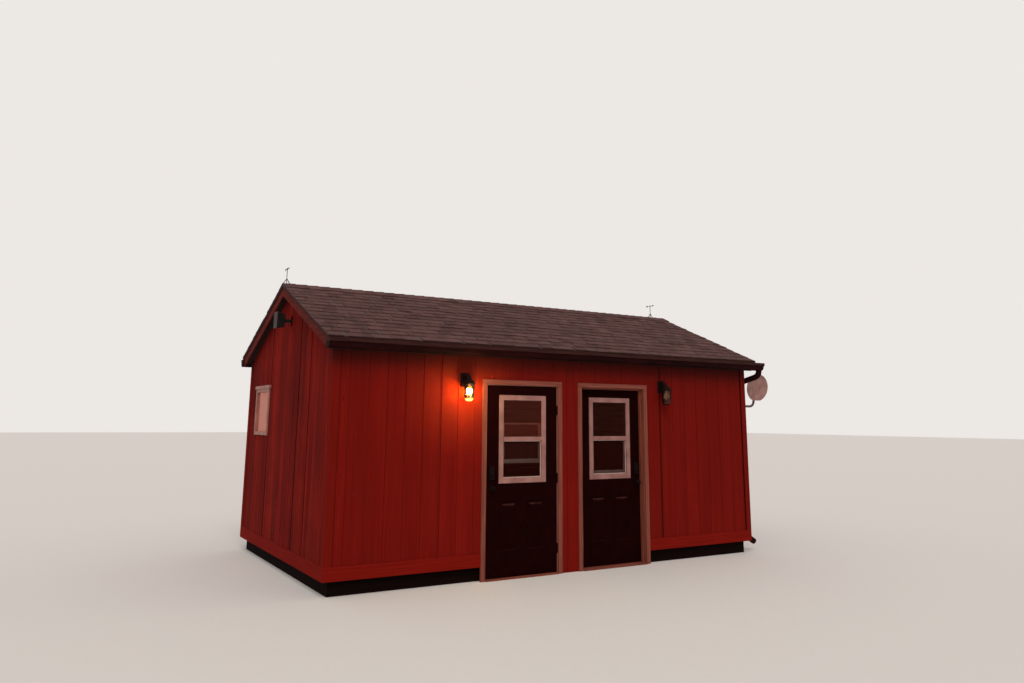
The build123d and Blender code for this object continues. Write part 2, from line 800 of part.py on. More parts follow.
# Small window in the left gable, with its head trim
with BuildPart() as gable_window_frame:
    with BuildSketch(Plane((gable_face, 0, 0), x_dir=(0, -1, 0), z_dir=(-1, 0, 0))):
        with Locations((-window_y, window_z)):
            Rectangle(window_width, window_height)
            Rectangle(window_width - 2 * window_bar, window_height - 2 * window_bar, mode=Mode.SUBTRACT)
    extrude(amount=window_proud)
    with BuildSketch(Plane((gable_face, 0, 0), x_dir=(0, -1, 0), z_dir=(-1, 0, 0))):
        with Locations((-window_y, window_z)):
            Rectangle(window_hole_width, window_hole_height)
            Rectangle(window_width - 2 * window_bar, window_height - 2 * window_bar, mode=Mode.SUBTRACT)
    extrude(amount=-wall_thick)
    trim_low = window_z + window_height / 2
    block(gable_face - head_trim_proud, gable_face, window_y - window_width / 2 - head_trim_reach,
          window_y + window_width / 2 + head_trim_reach, trim_low, trim_low + head_trim_height)
keep(gable_window_frame, "gable_window_frame")

with BuildPart() as gable_window_glass:
    with Locations((gable_face + window_pane / 2, window_y, window_z)):
        Box(window_pane, window_width - 2 * window_bar, window_height - 2 * window_bar)
keep(gable_window_glass, "gable_window_glass")


left_lantern_x = left_door_x - left_lantern_gap
right_lantern_x = right_door_x + right_lantern_gap
plate_z = head_under + lantern_above_door
rim_z = plate_z - lantern_rim_drop
jar_y = front_face - lantern_reach


def lantern_rim(x):
    """The plane of one lantern's rim, where its jar hangs and its cap stands."""
    return Plane((x, jar_y, rim_z))


def jar_rings(radius, foot):
    """The jar from its rim down to its foot, as (height, radius) rings."""
    return [(0, radius), (-foot * 0.72, radius * 0.97), (-foot * 0.92, radius * 0.78), (-foot, radius * 0.45)]


def lantern(x, name):
    """Back plate, hood and cap of a jelly-jar lantern."""
    plate_face = front_face - lantern_plate_thick
    with BuildPart() as body:
        block(x - lantern_plate_width / 2, x + lantern_plate_width / 2, plate_face, front_face,
              plate_z - lantern_plate_height / 2, plate_z + lantern_plate_height / 2)
        chamfer(body.faces().sort_by(Axis.Y)[0].edges(), lantern_plate_thick / 3)
        with BuildSketch(Plane.YZ.offset(x - hood_width / 2)):
            with BuildLine():
                hood_top = plate_z + lantern_plate_height * 0.38
                Polyline((jar_y, rim_z + lantern_cap_height), (jar_y, rim_z + lantern_rim_height),
                         (plate_face, rim_z + lantern_rim_height), (plate_face, hood_top))
                ThreePointArc((plate_face, hood_top), ((plate_face + jar_y) / 2, hood_top - 8),
                              (jar_y, rim_z + lantern_cap_height))
            make_face()
        extrude(amount=hood_width)
        turned(lantern_rim(x), [(0, lantern_rim_radius), (lantern_rim_height, lantern_rim_radius),
                                (lantern_cap_height * 0.75, lantern_rim_radius * 0.72),
                                (lantern_cap_height, lantern_rim_radius * 0.35)], lantern_sides)
    keep(body, f"{name}_lantern")


lantern(left_lantern_x, "left")
lantern(right_lantern_x, "right")

with BuildPart() as lantern_jars:
    for x in (left_lantern_x, right_lantern_x):
        with BuildPart(mode=Mode.PRIVATE) as jar:
            turned(lantern_rim(x), jar_rings(jar_radius, jar_height), lantern_sides)
            turned(lantern_rim(x), jar_rings(jar_radius - jar_wall, jar_height - jar_wall), lantern_sides,
                   Mode.SUBTRACT)
        add(jar.part)
keep(lantern_jars, "lantern_jars")

with BuildPart() as lantern_bulbs:
    for x in (left_lantern_x, right_lantern_x):
        turned(lantern_rim(x), [(0, bulb_neck), (-bulb_height * 0.28, bulb_neck), (-bulb_height * 0.55, bulb_radius),
                                (-bulb_height * 0.78, bulb_radius), (-bulb_height, bulb_radius * 0.4)], bulb_sides)
keep(lantern_bulbs, "lantern_bulbs")

# Wire guards round the jars: a ring under the cap, one at the foot and the upright wires
guard_inner = jar_radius + cage_gap
guard_foot = rim_z - jar_height * 0.72
with BuildPart() as lantern_guards:
    for x in (left_lantern_x, right_lantern_x):
        for z in (rim_z - cage_bar, guard_foot - cage_bar):
            with BuildSketch(Plane((x, jar_y, z))):
                RegularPolygon(guard_inner + cage_bar, small_sides)
                RegularPolygon(guard_inner, small_sides, major_radius=False, mode=Mode.SUBTRACT)
            extrude(amount=cage_bar)
        with BuildSketch(Plane((x, jar_y, guard_foot))):
            with PolarLocations(guard_inner + cage_bar / 2, cage_bars):
                Rectangle(cage_bar, cage_bar)
        extrude(amount=rim_z - guard_foot)
keep(lantern_guards, "lantern_guards")

# Loudspeaker: a case tapered towards its back, a grille on its front, and a bracket
speaker_z = ridge_height - speaker_below_ridge
speaker_back = gable_face - speaker_standoff
speaker_front = speaker_back - speaker_depth


def speaker_outline(x, width, height):
    """The outline at one depth of the case: a rectangle with its corners cut."""
    corner = [(width / 2, height / 2 - speaker_edge), (width / 2 - speaker_edge, height / 2)]
    upper = corner + [(-y, z) for y, z in reversed(corner)]
    return [(x, speaker_y + y, speaker_z + z) for y, z in upper + [(-y, -z) for y, z in upper]]


with BuildPart() as speaker:
    flat_sided([speaker_outline(speaker_front, speaker_width, speaker_height),
                speaker_outline(speaker_back, speaker_back_width, speaker_back_height)])
keep(speaker, "speaker")

with BuildPart() as speaker_grille:
    flat_sided([speaker_outline(speaker_front - grille_thick, speaker_width - grille_edge, speaker_height - grille_edge),
                speaker_outline(speaker_front - grille_thick + grille_edge / 2, speaker_width, speaker_height),
                speaker_outline(speaker_front, speaker_width, speaker_height)])
keep(speaker_grille, "speaker_grille")

with BuildPart() as speaker_bracket:
    with Locations((gable_face - speaker_plate_thick / 2, speaker_y, speaker_z)):
        Box(speaker_plate_thick, speaker_plate_width, speaker_plate_height)
    with Locations((speaker_back + speaker_plate_thick / 2, speaker_y, speaker_z)):
        Box(speaker_plate_thick, speaker_pad, speaker_pad)
    with BuildSketch(Plane((gable_face, speaker_y, speaker_z), z_dir=(-1, 0, 0))):
        RegularPolygon(speaker_arm_radius, small_sides)
    extrude(amount=speaker_standoff)
keep(speaker_bracket, "speaker_bracket")

# Dish: a thin curved reflector with its foot cut straight and a boss on its back, hollow side to the front
dish_x = half_length + dish_out
dish_y = front_face + dish_from_front
dish_z = eave_height - dish_below_eave
facing = Vector(0, -1, 0).rotate(Axis.X, -dish_tilt).rotate(Axis.Z, -dish_turn)
across = Vector(1, 0, 0).rotate(Axis.Z, -dish_turn)
dish_plane = Plane((dish_x, dish_y, dish_z), x_dir=across, z_dir=facing)
boss_back = -(dish_depth + dish_sheet + dish_boss_height)


def bowl(radius):
    """How far the reflector's face lies behind its rim, at a distance from its axis."""
    return -dish_depth * (1 - (radius / dish_radius) ** 2)


with BuildPart() as dish:
    radii = [dish_radius * k / dish_rings for k in range(1, dish_rings + 1)]
    turned(dish_plane, [(bowl(r) - dish_sheet, r) for r in radii] + [(0, dish_radius)], 3 * small_sides)
    turned(dish_plane, [(bowl(r), r - dish_sheet) for r in radii] + [(dish_sheet, dish_radius - dish_sheet)],
           3 * small_sides, Mode.SUBTRACT)
    with Locations(dish_plane * Pos(0, -dish_cut - dish_radius / 2, 0)):
        Box(2 * dish_radius, dish_radius, 2 * dish_radius, mode=Mode.SUBTRACT)
    with BuildSketch(dish_plane.offset(boss_back)):
        RegularPolygon(dish_boss_radius, 2 * small_sides)
    extrude(amount=dish_boss_height + dish_sheet)
keep(dish, "dish")

# Its tube: a foot on the right gable, a bend upwards and a block that meets the boss
with BuildPart() as dish_mount:
    mast_top = dish_plane.offset(boss_back - mast_block_depth).origin
    mast_foot = (half_length + mast_foot_thick / 2, mast_top.Y, dish_z - mast_drop)
    with Locations(mast_foot):
        Box(mast_foot_thick, mast_foot_width, mast_foot_height)
    with Locations(dish_plane.offset(boss_back - mast_block_depth / 2)):
        Box(mast_block_width, mast_block_width, mast_block_depth)
    with BuildLine():
        Polyline(*pipe_route([mast_foot, (mast_top.X, mast_top.Y, dish_z - mast_drop),
                              (mast_top.X, mast_top.Y, mast_top.Z + mast_block_width / 2)], mast_bend, 4))
    with BuildSketch(Plane(mast_foot, z_dir=(1, 0, 0))):
        RegularPolygon(mast_radius, small_sides)
    sweep(transition=Transition.RIGHT)
keep(dish_mount, "dish_mount")

# Vanes: rods with two legs on saddles over the ridge cap, and an arrow that turns on each rod
left_vane_x = -(roof_half - left_vane_inset)
right_vane_x = roof_half - right_vane_inset
cap_top = roof_z(0, 0) + cap_rise
saddle_rise = vane_saddle_thick / cos(pitch)
saddle_drop = vane_saddle_reach * roof_rise_per_run
saddle_profile = [
    (0, cap_top),
    (-vane_saddle_reach, cap_top - saddle_drop),
    (-vane_saddle_reach, cap_top - saddle_drop + saddle_rise),
    (0, cap_top + saddle_rise),
    (vane_saddle_reach, cap_top - saddle_drop + saddle_rise),
    (vane_saddle_reach, cap_top - saddle_drop),
]
vane_seat = cap_top + vane_rod_height
vane_middle = vane_seat + vane_sleeve_height / 2
with BuildPart() as vane_rods:
    for x in (left_vane_x, right_vane_x):
        along_x(saddle_profile, x - vane_saddle_length / 2, x + vane_saddle_length / 2)
        rod_foot = cap_top + saddle_rise / 2
        rod_neck = vane_seat - knuckle_gap
        post((x, 0, (rod_foot + rod_neck) / 2), vane_rod_radius, rod_neck - rod_foot)
        round_bar(Plane((x, 0, rod_neck)), vane_rod_radius, knuckle_gap + vane_sleeve_height)
        post((x, 0, vane_seat - knuckle_gap - vane_collar_height / 2), vane_sleeve_radius, vane_collar_height)
        with BuildSketch(Plane.XZ.offset(-vane_leg_width / 2)):
            with BuildLine():
                leg_foot = rod_foot + saddle_rise / 2 - 1
                outer_foot = vane_leg_reach + vane_leg_width
                inner_foot = vane_leg_reach - vane_leg_width
                Polyline((x - outer_foot, leg_foot), (x, leg_foot + vane_leg_height), (x + outer_foot, leg_foot),
                         (x + inner_foot, leg_foot), (x, leg_foot + vane_leg_height - 3 * vane_leg_width),
                         (x - inner_foot, leg_foot), close=True)
            make_face()
        extrude(amount=vane_leg_width)
keep(vane_rods, "vane_rods")

vane_sleeve_bore = (vane_rod_radius + pin_clearance) / cos(radians(180 / small_sides))
for x, name in ((left_vane_x, "left"), (right_vane_x, "right")):
    with BuildPart() as arrow:
        post((x, 0, vane_middle), vane_sleeve_radius, vane_sleeve_height)
        with BuildSketch(Plane.YZ.offset(x - vane_arrow_thick / 2)):
            half = vane_arrow_length / 2
            with BuildLine():
                Polyline((-half, vane_middle), (-half + vane_head_length, vane_middle + vane_head_height / 2),
                         (-half + vane_head_length, vane_middle - vane_head_height / 2), close=True)
            make_face()
            with Locations((0, vane_middle)):
                Rectangle(vane_arrow_length - vane_head_length, vane_arrow_shaft)
            with BuildLine():
                Polyline((half, vane_middle + vane_tail_height / 2), (half - vane_tail_length, vane_middle + 3),
                         (half - vane_tail_length, vane_middle - 3), (half, vane_middle - vane_tail_height / 2),
                         (half - 12, vane_middle), close=True)
            make_face()
        extrude(amount=vane_arrow_thick)
        post((x, 0, vane_middle), vane_sleeve_bore, vane_sleeve_height + 1, Mode.SUBTRACT)
    keep(arrow, f"{name}_vane_arrow")
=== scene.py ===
# %% [markdown]
# A small red sauna hut with a gable roof: boarded walls, two dark steel doors with white
# windows, pine trim, brown gutters and an asphalt roof. The solids come ready made and in
# place, so this lesson only dresses them. Every size is read from them where it can be.
# Sizes are in metres, but a finish's lumps, skin and depth and a nail's head are in mm.

# %% Load the hut
import math
import random
from collections import namedtuple

import bmesh
import bpy
from mathutils import Matrix, Vector


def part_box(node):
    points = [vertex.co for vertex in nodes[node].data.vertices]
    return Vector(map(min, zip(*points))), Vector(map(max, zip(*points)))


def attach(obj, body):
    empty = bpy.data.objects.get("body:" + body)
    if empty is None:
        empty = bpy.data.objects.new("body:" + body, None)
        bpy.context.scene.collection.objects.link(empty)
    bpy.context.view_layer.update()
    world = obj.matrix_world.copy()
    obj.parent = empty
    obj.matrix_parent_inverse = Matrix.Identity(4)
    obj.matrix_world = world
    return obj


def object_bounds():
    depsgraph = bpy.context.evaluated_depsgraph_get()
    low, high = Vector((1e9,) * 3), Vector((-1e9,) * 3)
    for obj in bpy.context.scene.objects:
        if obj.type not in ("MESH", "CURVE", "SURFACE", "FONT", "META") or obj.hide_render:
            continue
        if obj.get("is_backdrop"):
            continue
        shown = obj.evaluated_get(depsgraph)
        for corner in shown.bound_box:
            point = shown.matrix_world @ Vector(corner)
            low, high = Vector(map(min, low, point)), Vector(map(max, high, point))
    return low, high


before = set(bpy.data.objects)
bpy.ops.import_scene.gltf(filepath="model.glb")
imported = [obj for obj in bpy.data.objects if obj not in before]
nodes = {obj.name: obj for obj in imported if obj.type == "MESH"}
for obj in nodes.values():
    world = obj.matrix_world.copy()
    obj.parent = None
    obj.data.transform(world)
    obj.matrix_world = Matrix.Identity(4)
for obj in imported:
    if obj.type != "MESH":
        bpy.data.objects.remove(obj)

cad_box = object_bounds()
print("solids:", len(nodes), "box:", [round(v, 3) for corner in cad_box for v in corner])

# %% [markdown]
# The hut was photographed from near its front left corner with a wide lens held a little
# upwards. The camera is written as a place, three turns and a focal length in pixels, so
# that the picture's frame can be checked against the hut's own corners.

# %% Camera
PICTURE_WIDTH = 1024
PICTURE_HEIGHT = 683
FOCAL_PIXELS = 793.2
HORIZON_CENTRE = 268.36
CAMERA_PLACE = Vector((-5.4269, -9.4385, 1.6787))
YAW, PITCH, ROLL = 0.5386, 0.1889, 0.0078


def set_out(name, data):
    """A new object, put into the scene."""
    thing = bpy.data.objects.new(name, data)
    bpy.context.scene.collection.objects.link(thing)
    return thing


look = Vector((math.sin(YAW) * math.cos(PITCH), math.cos(YAW) * math.cos(PITCH), math.sin(PITCH)))
level = Vector((math.cos(YAW), -math.sin(YAW), 0.0))
side = Matrix.Rotation(-ROLL, 3, look) @ level
camera_data = bpy.data.cameras.new("photo_camera")
camera_data.sensor_width = 36.0
camera_data.lens = 36.0 * FOCAL_PIXELS / PICTURE_WIDTH
camera_data.shift_y = (HORIZON_CENTRE - PICTURE_HEIGHT / 2) / PICTURE_WIDTH
camera = set_out("photo_camera", camera_data)
camera.matrix_world = Matrix.Translation(CAMERA_PLACE) @ Matrix((side, side.cross(look), -look)).transposed().to_4x4()
bpy.context.scene.camera = camera
print("lens", round(camera_data.lens, 2), "mm, shift", round(camera_data.shift_y, 4))

# %% [markdown]
# Colours are written the way a paint card shows them, in sRGB. Blender mixes light in a
# linear scale, so one function turns the written value into that scale. A second one adds
# a node with its settings and its links, and every material and tree below is made by it.

# %% Colour and node helpers
RAMP, RANGE = "ShaderNodeValToRGB", "ShaderNodeMapRange"
JOIN, SPLIT, RANDOM = "ShaderNodeCombineXYZ", "ShaderNodeSeparateXYZ", "FunctionNodeRandomValue"


def paint(code):
    """A written colour, #rrggbb, in Blender's linear scale."""
    parts = [int(code[k:k + 2], 16) / 255 for k in (1, 3, 5)]
    return (*[p / 12.92 if p <= 0.04045 else ((p + 0.055) / 1.055) ** 2.4 for p in parts], 1.0)


def add(tree, kind, *values, out=0, stops=(), **settings):
    """One node with its settings and links; returns an output of it, or all of them when out is None.

    A kind in capitals is a sum, such as MULTIPLY, for a Math node. Values go to the sockets in order, and a
    dictionary names its sockets. Stops are a ramp's places and colours.
    """
    made = tree.nodes.new("ShaderNodeMath" if kind.isupper() else kind)
    if kind.isupper():
        made.operation = kind
    for name, value in settings.items():
        setattr(made, name, value)
    bands = made.color_ramp.elements if stops else ()
    while len(bands) < len(stops):
        bands.new(0.5)
    for band, (place, code) in zip(bands, stops):
        band.position = place
        band.color = paint(code)
    for order, value in enumerate(values):
        for socket, part in value.items() if isinstance(value, dict) else [(order, value)]:
            if isinstance(part, bpy.types.NodeSocket):
                tree.links.new(part, made.inputs[socket])
            else:
                made.inputs[socket].default_value = part
    return made.outputs if out is None else made.outputs[out]


print("mid grey #808080 in linear light:", round(paint("#808080")[0], 3))

# %% [markdown]
# Most finishes here are one pigment that varies a little and one skin that isn't quite
# flat. A noise stretched to real millimetres gives each: the first picks between a dark
# and a light tone, the second lifts the surface. Painting a picture would give more, but
# this holds at every distance and needs no file. Dirt, wear and further coats are then
# laid over it, as they are on the real thing.

# %% The common way to make a finish


def mottle(tree, size, detail=3.0):
    """A pattern whose lumps are size millimetres along X, Y and Z."""
    place = add(tree, "ShaderNodeTexCoord", out="Object")
    scaled = add(tree, "ShaderNodeMapping", {"Vector": place, "Scale": [1000.0 / s for s in size]})
    return add(tree, "ShaderNodeTexNoise", {"Vector": scaled, "Scale": 1.0, "Detail": detail, "Roughness": 0.55})


def dress(material, *solids):
    """Gives a finish to solids that are kept as they are."""
    for name in solids:
        nodes[name].data.materials.clear()
        nodes[name].data.materials.append(material)
    print("finish", material.name, *solids)


def finish(name, tones, roughness, *solids, metallic=0.0, lumps=(60, 60, 60), skin=(3, 3, 3), depth=0.15, shine=0.5):
    """A material on some solids: tones from dark to light in lumps of a size, a skin of a size and depth, in mm."""
    material = bpy.data.materials.new(name)
    material.use_nodes = True
    tree = material.node_tree
    shader = tree.nodes["Principled BSDF"]
    for socket, value in (("Roughness", roughness), ("Metallic", metallic), ("Specular IOR Level", shine)):
        shader.inputs[socket].default_value = value
    # nearly all of a noise lies between 0.32 and 0.68
    spread = [(0.32 + 0.36 * k / (len(tones) - 1), tone) for k, tone in enumerate(tones)]
    tree.links.new(add(tree, RAMP, mottle(tree, lumps), stops=spread), shader.inputs["Base Color"])
    relief = add(tree, "ShaderNodeBump", {"Height": mottle(tree, skin), "Strength": 1.0, "Distance": depth / 1000})
    tree.links.new(relief, shader.inputs["Normal"])
    dress(material, *solids)
    return material


def overlay(material, share, colour, way="MIX"):
    """Lays a written colour, or one that a node gives, over what a finish has so far, by a share from 0 to 1."""
    tree = material.node_tree
    base = tree.nodes["Principled BSDF"].inputs["Base Color"]
    layer = paint(colour) if isinstance(colour, str) else colour
    tree.links.new(add(tree, "ShaderNodeMix", {0: share, 6: base.links[0].from_socket, 7: layer}, out=2,
                       data_type="RGBA", blend_type=way), base)


print("a finish is a", mottle.__name__, "for its colour and one for its skin; solids to dress:", len(nodes))

# %% [markdown]
# A new piece starts as a list of corners and faces, is cleaned up, and then rides on the
# part of the hut that carries it: the building, a door, a knob or a vane.

# %% Making a piece


def make_piece(name, mesh, material, body):
    """Turns a bmesh into an object that rides on a body."""
    data = bpy.data.meshes.new(name)
    mesh.to_mesh(data)
    mesh.free()
    data.materials.clear()
    data.materials.append(material)
    piece = set_out(name, data)
    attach(piece, body)
    print(name, "faces", len(data.polygons))
    return piece


def solid(mesh, corners, faces):
    """Adds one closed shape to a bmesh and returns its corners."""
    made = [mesh.verts.new(c) for c in corners]
    for face in faces:
        mesh.faces.new([made[k] for k in face])
    return made


BOX_FACES = ((0, 3, 2, 1), (4, 5, 6, 7), (0, 1, 5, 4), (1, 2, 6, 5), (2, 3, 7, 6), (3, 0, 4, 7))


def bar(mesh, low, high):
    """A plain box between two corners."""
    (x0, y0, z0), (x1, y1, z1) = low, high
    return solid(mesh, [(x0, y0, z0), (x1, y0, z0), (x1, y1, z0), (x0, y1, z0),
                        (x0, y0, z1), (x1, y0, z1), (x1, y1, z1), (x0, y1, z1)], BOX_FACES)


print("a plain bar has", len(BOX_FACES), "faces")

# %% [markdown]
# The wall solids, corner boards and bottom boards give every line that the siding keeps
# to: the faces it lies on, where it ends at a corner and how high it reaches under the
# eaves. They are read from the solids, so that a changed wall changes its siding too.

# %% Measures of the walls
ROOF_RISE = 5 / 12
CORNER_BOARD = 0.089
WALL_THICK = 0.115
front_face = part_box("front_wall_left")[0].y
gable_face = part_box("left_gable_wall")[0].x
bottom_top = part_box("bottom_boards")[1].z
corner_low, corner_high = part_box("corner_boards")
corner_inner_x = -corner_low.x - CORNER_BOARD
corner_inner_y = -corner_low.y - CORNER_BOARD
eave_z = corner_high.z + (corner_high.y + front_face) * ROOF_RISE
print("siding from", round(bottom_top, 3), "to", round(eave_z, 3), "m on the long walls")

# %% [markdown]
# The siding is rough-sawn plywood stained barn red, with an upright groove every eight
# inches that makes it read as boards. Stain on rough wood soaks in unevenly, so each board
# has its own tone, darker streaks run along the grain, knots stay dark and there is no
# gloss. Each of these is a layer that multiplies the stain. The gables show them plainly;
# the long walls look as if they had a second coat, which evens them out.

# %% Siding finish
long_wall_y = -front_face - WALL_THICK + 0.01


def where(tree):
    """X, Y and Z of a point on the piece."""
    return add(tree, SPLIT, add(tree, "ShaderNodeTexCoord", out="Object"), out=None)


def on_long_wall(tree):
    """1 on the front and the back, 0 on the gables."""
    from_ridge = add(tree, "ABSOLUTE", where(tree)[1])
    return add(tree, "GREATER_THAN", from_ridge, long_wall_y)


siding = finish("stained_rough_plywood", ("#74110a", "#8b160d", "#9f1f14"), 0.92, lumps=(9, 9, 700),
                skin=(2.2, 2.2, 60), depth=0.9, shine=0.05)
tree = siding.node_tree
board_tone = add(tree, "ShaderNodeAttribute", out="Fac", attribute_name="board_tone")
knot_places = add(tree, "ShaderNodeMapping", {
    "Vector": add(tree, "ShaderNodeTexCoord", out="Object"), "Scale": (5.0, 5.0, 2.2)})
from_knot = add(tree, "ShaderNodeTexVoronoi", {"Vector": knot_places, "Scale": 1.0}, out="Distance")
for pattern, stops in (
        (board_tone, ((0.0, "#e2dfdf"), (0.5, "#f4f3f3"), (1.0, "#ffffff"))),
        (mottle(tree, (900, 900, 500)), ((0.35, "#e2dddd"), (0.62, "#ffffff"))),
        (mottle(tree, (40, 40, 1500), 2.0), ((0.36, "#dcd7d7"), (0.5, "#f6f5f5"), (0.64, "#ffffff"))),
        (mottle(tree, (170, 170, 3200), 2.0), ((0.38, "#cfc8c8"), (0.6, "#ffffff"))),
        (from_knot, ((0.035, "#6a5a58"), (0.075, "#ffffff")))):
    overlay(siding, 1.0, add(tree, RAMP, pattern, stops=stops), "MULTIPLY")
overlay(siding, add(tree, RANGE, mottle(tree, (16, 16, 1100), 2.0), 0.52, 0.75, 0.0, 0.22), "#9a3d30")

# a painted highlight on a groove's edge, or painted shade in the groove where the value is below zero
groove_highlight_and_shade = add(tree, "ShaderNodeAttribute", out="Fac", attribute_name="groove_edge_highlight_and_shade")
overlay(siding, add(tree, RANGE, groove_highlight_and_shade, 0.0, 1.6), "#ab5145")
overlay(siding, add(tree, RANGE, groove_highlight_and_shade, 0.0, -0.8), "#170302")
# the second coat on the long walls, through which only the painted shade of the seams between sheets stays
overlay(siding, add(tree, "MULTIPLY", on_long_wall(tree), 0.72), "#6c100a")
overlay(siding, add(tree, RANGE, groove_highlight_and_shade, -0.72, -0.98), "#340705")

# %% [markdown]
# Two things change the stain by its place. Round the lit lantern the photograph's wall
# glows orange, more than a plain warm lamp makes of this red, so a painted glow of lamplight
# is drawn into the stain there. Right under the eaves a band of painted shade darkens the
# stain; it is as straight as the eaves.

# %% Painted lamplight by the lantern and painted shade under the eaves
GLOW_REACH = 0.75
EAVE_SHADE_REACH, EAVE_SHADE_FULL = 0.4, 0.02
lantern_low, lantern_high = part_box("left_lantern")
lantern_x = (lantern_low.x + lantern_high.x) / 2
from_lamp = add(tree, "ShaderNodeVectorMath", add(tree, "ShaderNodeTexCoord", out="Object"),
                (lantern_x - 0.05, lantern_high.y, lantern_low.z), out="Value", operation="DISTANCE")
# painted lamplight: the stain turns orange near the lit lantern
overlay(siding, add(tree, RANGE, from_lamp, GLOW_REACH, 0.05, 0.0, 0.45), "#8e2c0c")


def paint_eave_shade(material):
    """Paints shade over a stain right under the eaves."""
    tree = material.node_tree
    near_eave = add(tree, RANGE, where(tree)[2], corner_high.z - EAVE_SHADE_REACH, corner_high.z - EAVE_SHADE_FULL)
    under_eave = add(tree, "MULTIPLY", near_eave, on_long_wall(tree))
    eave_shade = add(tree, RAMP, under_eave, stops=((0.0, "#000000"), (0.4, "#686868"), (0.75, "#c2c2c2"), (1.0, "#efefef")))
    overlay(material, eave_shade, "#2c1816")


paint_eave_shade(siding)
print("orange within", GLOW_REACH, "m of", [round(v, 3) for v in (lantern_x, lantern_high.y, lantern_low.z)])

# %% [markdown]
# Corner boards, bottom boards and rake boards are sawn timber in the same stain. A stretched
# noise shows which way a board lies: grain runs up a corner board, level along a bottom
# board and down the slope of a rake board.

# %% Red trim finishes
# the corner boards: close straight grain, evened by the second coat as the long walls are
trim_red = finish("stained_trim_board", ("#640e08", "#751209", "#83170e"), 0.92, "corner_boards", lumps=(12, 12, 500),
                  skin=(3, 3, 80), depth=0.6, shine=0.05)
tree = trim_red.node_tree
overlay(trim_red, add(tree, "MULTIPLY", on_long_wall(tree), 0.6), "#65100a")
# painted shade under the eaves, as on the siding
paint_eave_shade(trim_red)

# painted shade where the siding meets a corner board, strongest on the right
x, y, z = where(tree)
into_board = add(tree, "SUBTRACT", add(tree, "ABSOLUTE", x), corner_inner_x)
above_band = add(tree, "GREATER_THAN", z, bottom_top)
corner_shade = add(tree, "MULTIPLY", add(tree, RANGE, into_board, 0.014, 0.004), above_band)
on_right = add(tree, "GREATER_THAN", x, 0.0)
strength = add(tree, "MULTIPLY_ADD", on_right, 0.65, 0.2)
overlay(trim_red, add(tree, "MULTIPLY", corner_shade, strength), "#1c0504")

# the bottom boards: level grain and an even red, because they were stained last
finish("stained_bottom_board", ("#691009", "#73120a", "#7d150d"), 0.92, "bottom_boards", lumps=(600, 600, 14),
       skin=(80, 80, 3), depth=0.6, shine=0.05)
# the rake boards: the weather reaches them first, so they are browner and duller
finish("weathered_rake_board", ("#48110b", "#581710", "#681e16"), 0.9, "rake_boards", lumps=(12, 300, 12),
       skin=(3, 60, 3), depth=0.6, shine=0.12)

# %% [markdown]
# The doorways are framed in pine without stain, planed smooth, which has turned a pinkish
# brown. Its grain is drawn about twice as coarse as real growth rings, which would be too
# fine to show. A door's casing is one solid, so the boards of its head and the sill are
# told by their height and get their grain laid level.

# %% Timber finishes
PINE = ("#5c2c20", "#773b2f", "#8b4c3d")
DOOR_HEAD, SILL_TOP = 2.04, 0.02
FLOOR_BOARD = 0.094


def board_seam(tree, across, board, share):
    """1 in the seams between boards of a width that lie side by side."""
    in_board = add(tree, "FRACT", add(tree, "DIVIDE", across, board))
    return add(tree, "LESS_THAN", in_board, share)


pine = finish("bare_pine", PINE, 0.7, "right_door_frame", "left_door_casing", "right_door_casing", "door_sills",
              lumps=(7, 7, 420), skin=(2, 2, 90), depth=0.3, shine=0.2)
tree = pine.node_tree
height = where(tree)[2]
is_head = add(tree, "GREATER_THAN", height, DOOR_HEAD)
is_sill = add(tree, "LESS_THAN", height, SILL_TOP)
level_grain = add(tree, RAMP, mottle(tree, (420, 7, 7)), stops=list(zip((0.32, 0.5, 0.68), PINE)))
overlay(pine, add(tree, "ADD", is_head, is_sill), level_grain)

# the left jamb: primer fills the grain, so it is paler and more even than bare pine
finish("primed_jamb", ("#72473f", "#85574e", "#93655b"), 0.6, "left_door_frame", lumps=(8, 8, 300), skin=(2, 2, 60),
       depth=0.2, shine=0.2)
# the floor: sealed boards with half a gloss and a dark seam between each two
floor_wood = finish("sealed_floor_boards", ("#5b3d2a", "#7b5a40", "#8d6a4c"), 0.5, "floor", lumps=(600, 12, 12),
                    skin=(90, 2, 2), depth=0.3)
tree = floor_wood.node_tree
overlay(floor_wood, board_seam(tree, where(tree)[1], FLOOR_BOARD, 0.03), "#2a1a11")
# under the roof: a very dark, dull brown
finish("dark_brown_soffit", ("#180d0b", "#221310", "#2d1a16"), 0.8, "front_roof_frame", "rear_roof_frame", "fascia_boards",
       lumps=(500, 20, 20), skin=(70, 3, 3), depth=0.4, shine=0.2)

# %% [markdown]
# Behind the siding stand the wall solids. Outside they show only in the grooves and get
# the same stain, darkened as painted shade; inside they are lined with pine boards, left bare in a
# sauna. One solid has both faces, so its colour is chosen by which side of it a point is on.
# The second coat on the long walls filled their grooves and lifts most of that painted shade, but less of the two where
# sheets meet.

# %% Walls and base beams
LINING_BOARD = 0.088
lining_edges = (-gable_face - WALL_THICK + 0.002, -front_face - WALL_THICK + 0.002)
SHEET_SEAMS = (-1.679, 1.369)
SEAM_SHADE_KEPT = (0.3, 0.9)


def line_inside(material):
    """Turns what lies inside the walls into pine boards, with a seam between them."""
    tree = material.node_tree
    inside = 1.0
    for distance, edge in zip(where(tree), lining_edges):
        within = add(tree, "LESS_THAN", add(tree, "ABSOLUTE", distance), edge)
        inside = add(tree, "MULTIPLY", inside, within)
    bare_wood = add(tree, RAMP, mottle(tree, (420, 420, 9)), stops=((0.35, "#6a432e"), (0.65, "#9c7555")))
    overlay(material, inside, bare_wood)
    seam = board_seam(tree, where(tree)[2], LINING_BOARD, 0.04)
    overlay(material, add(tree, "MULTIPLY", inside, seam), "#3f281b")
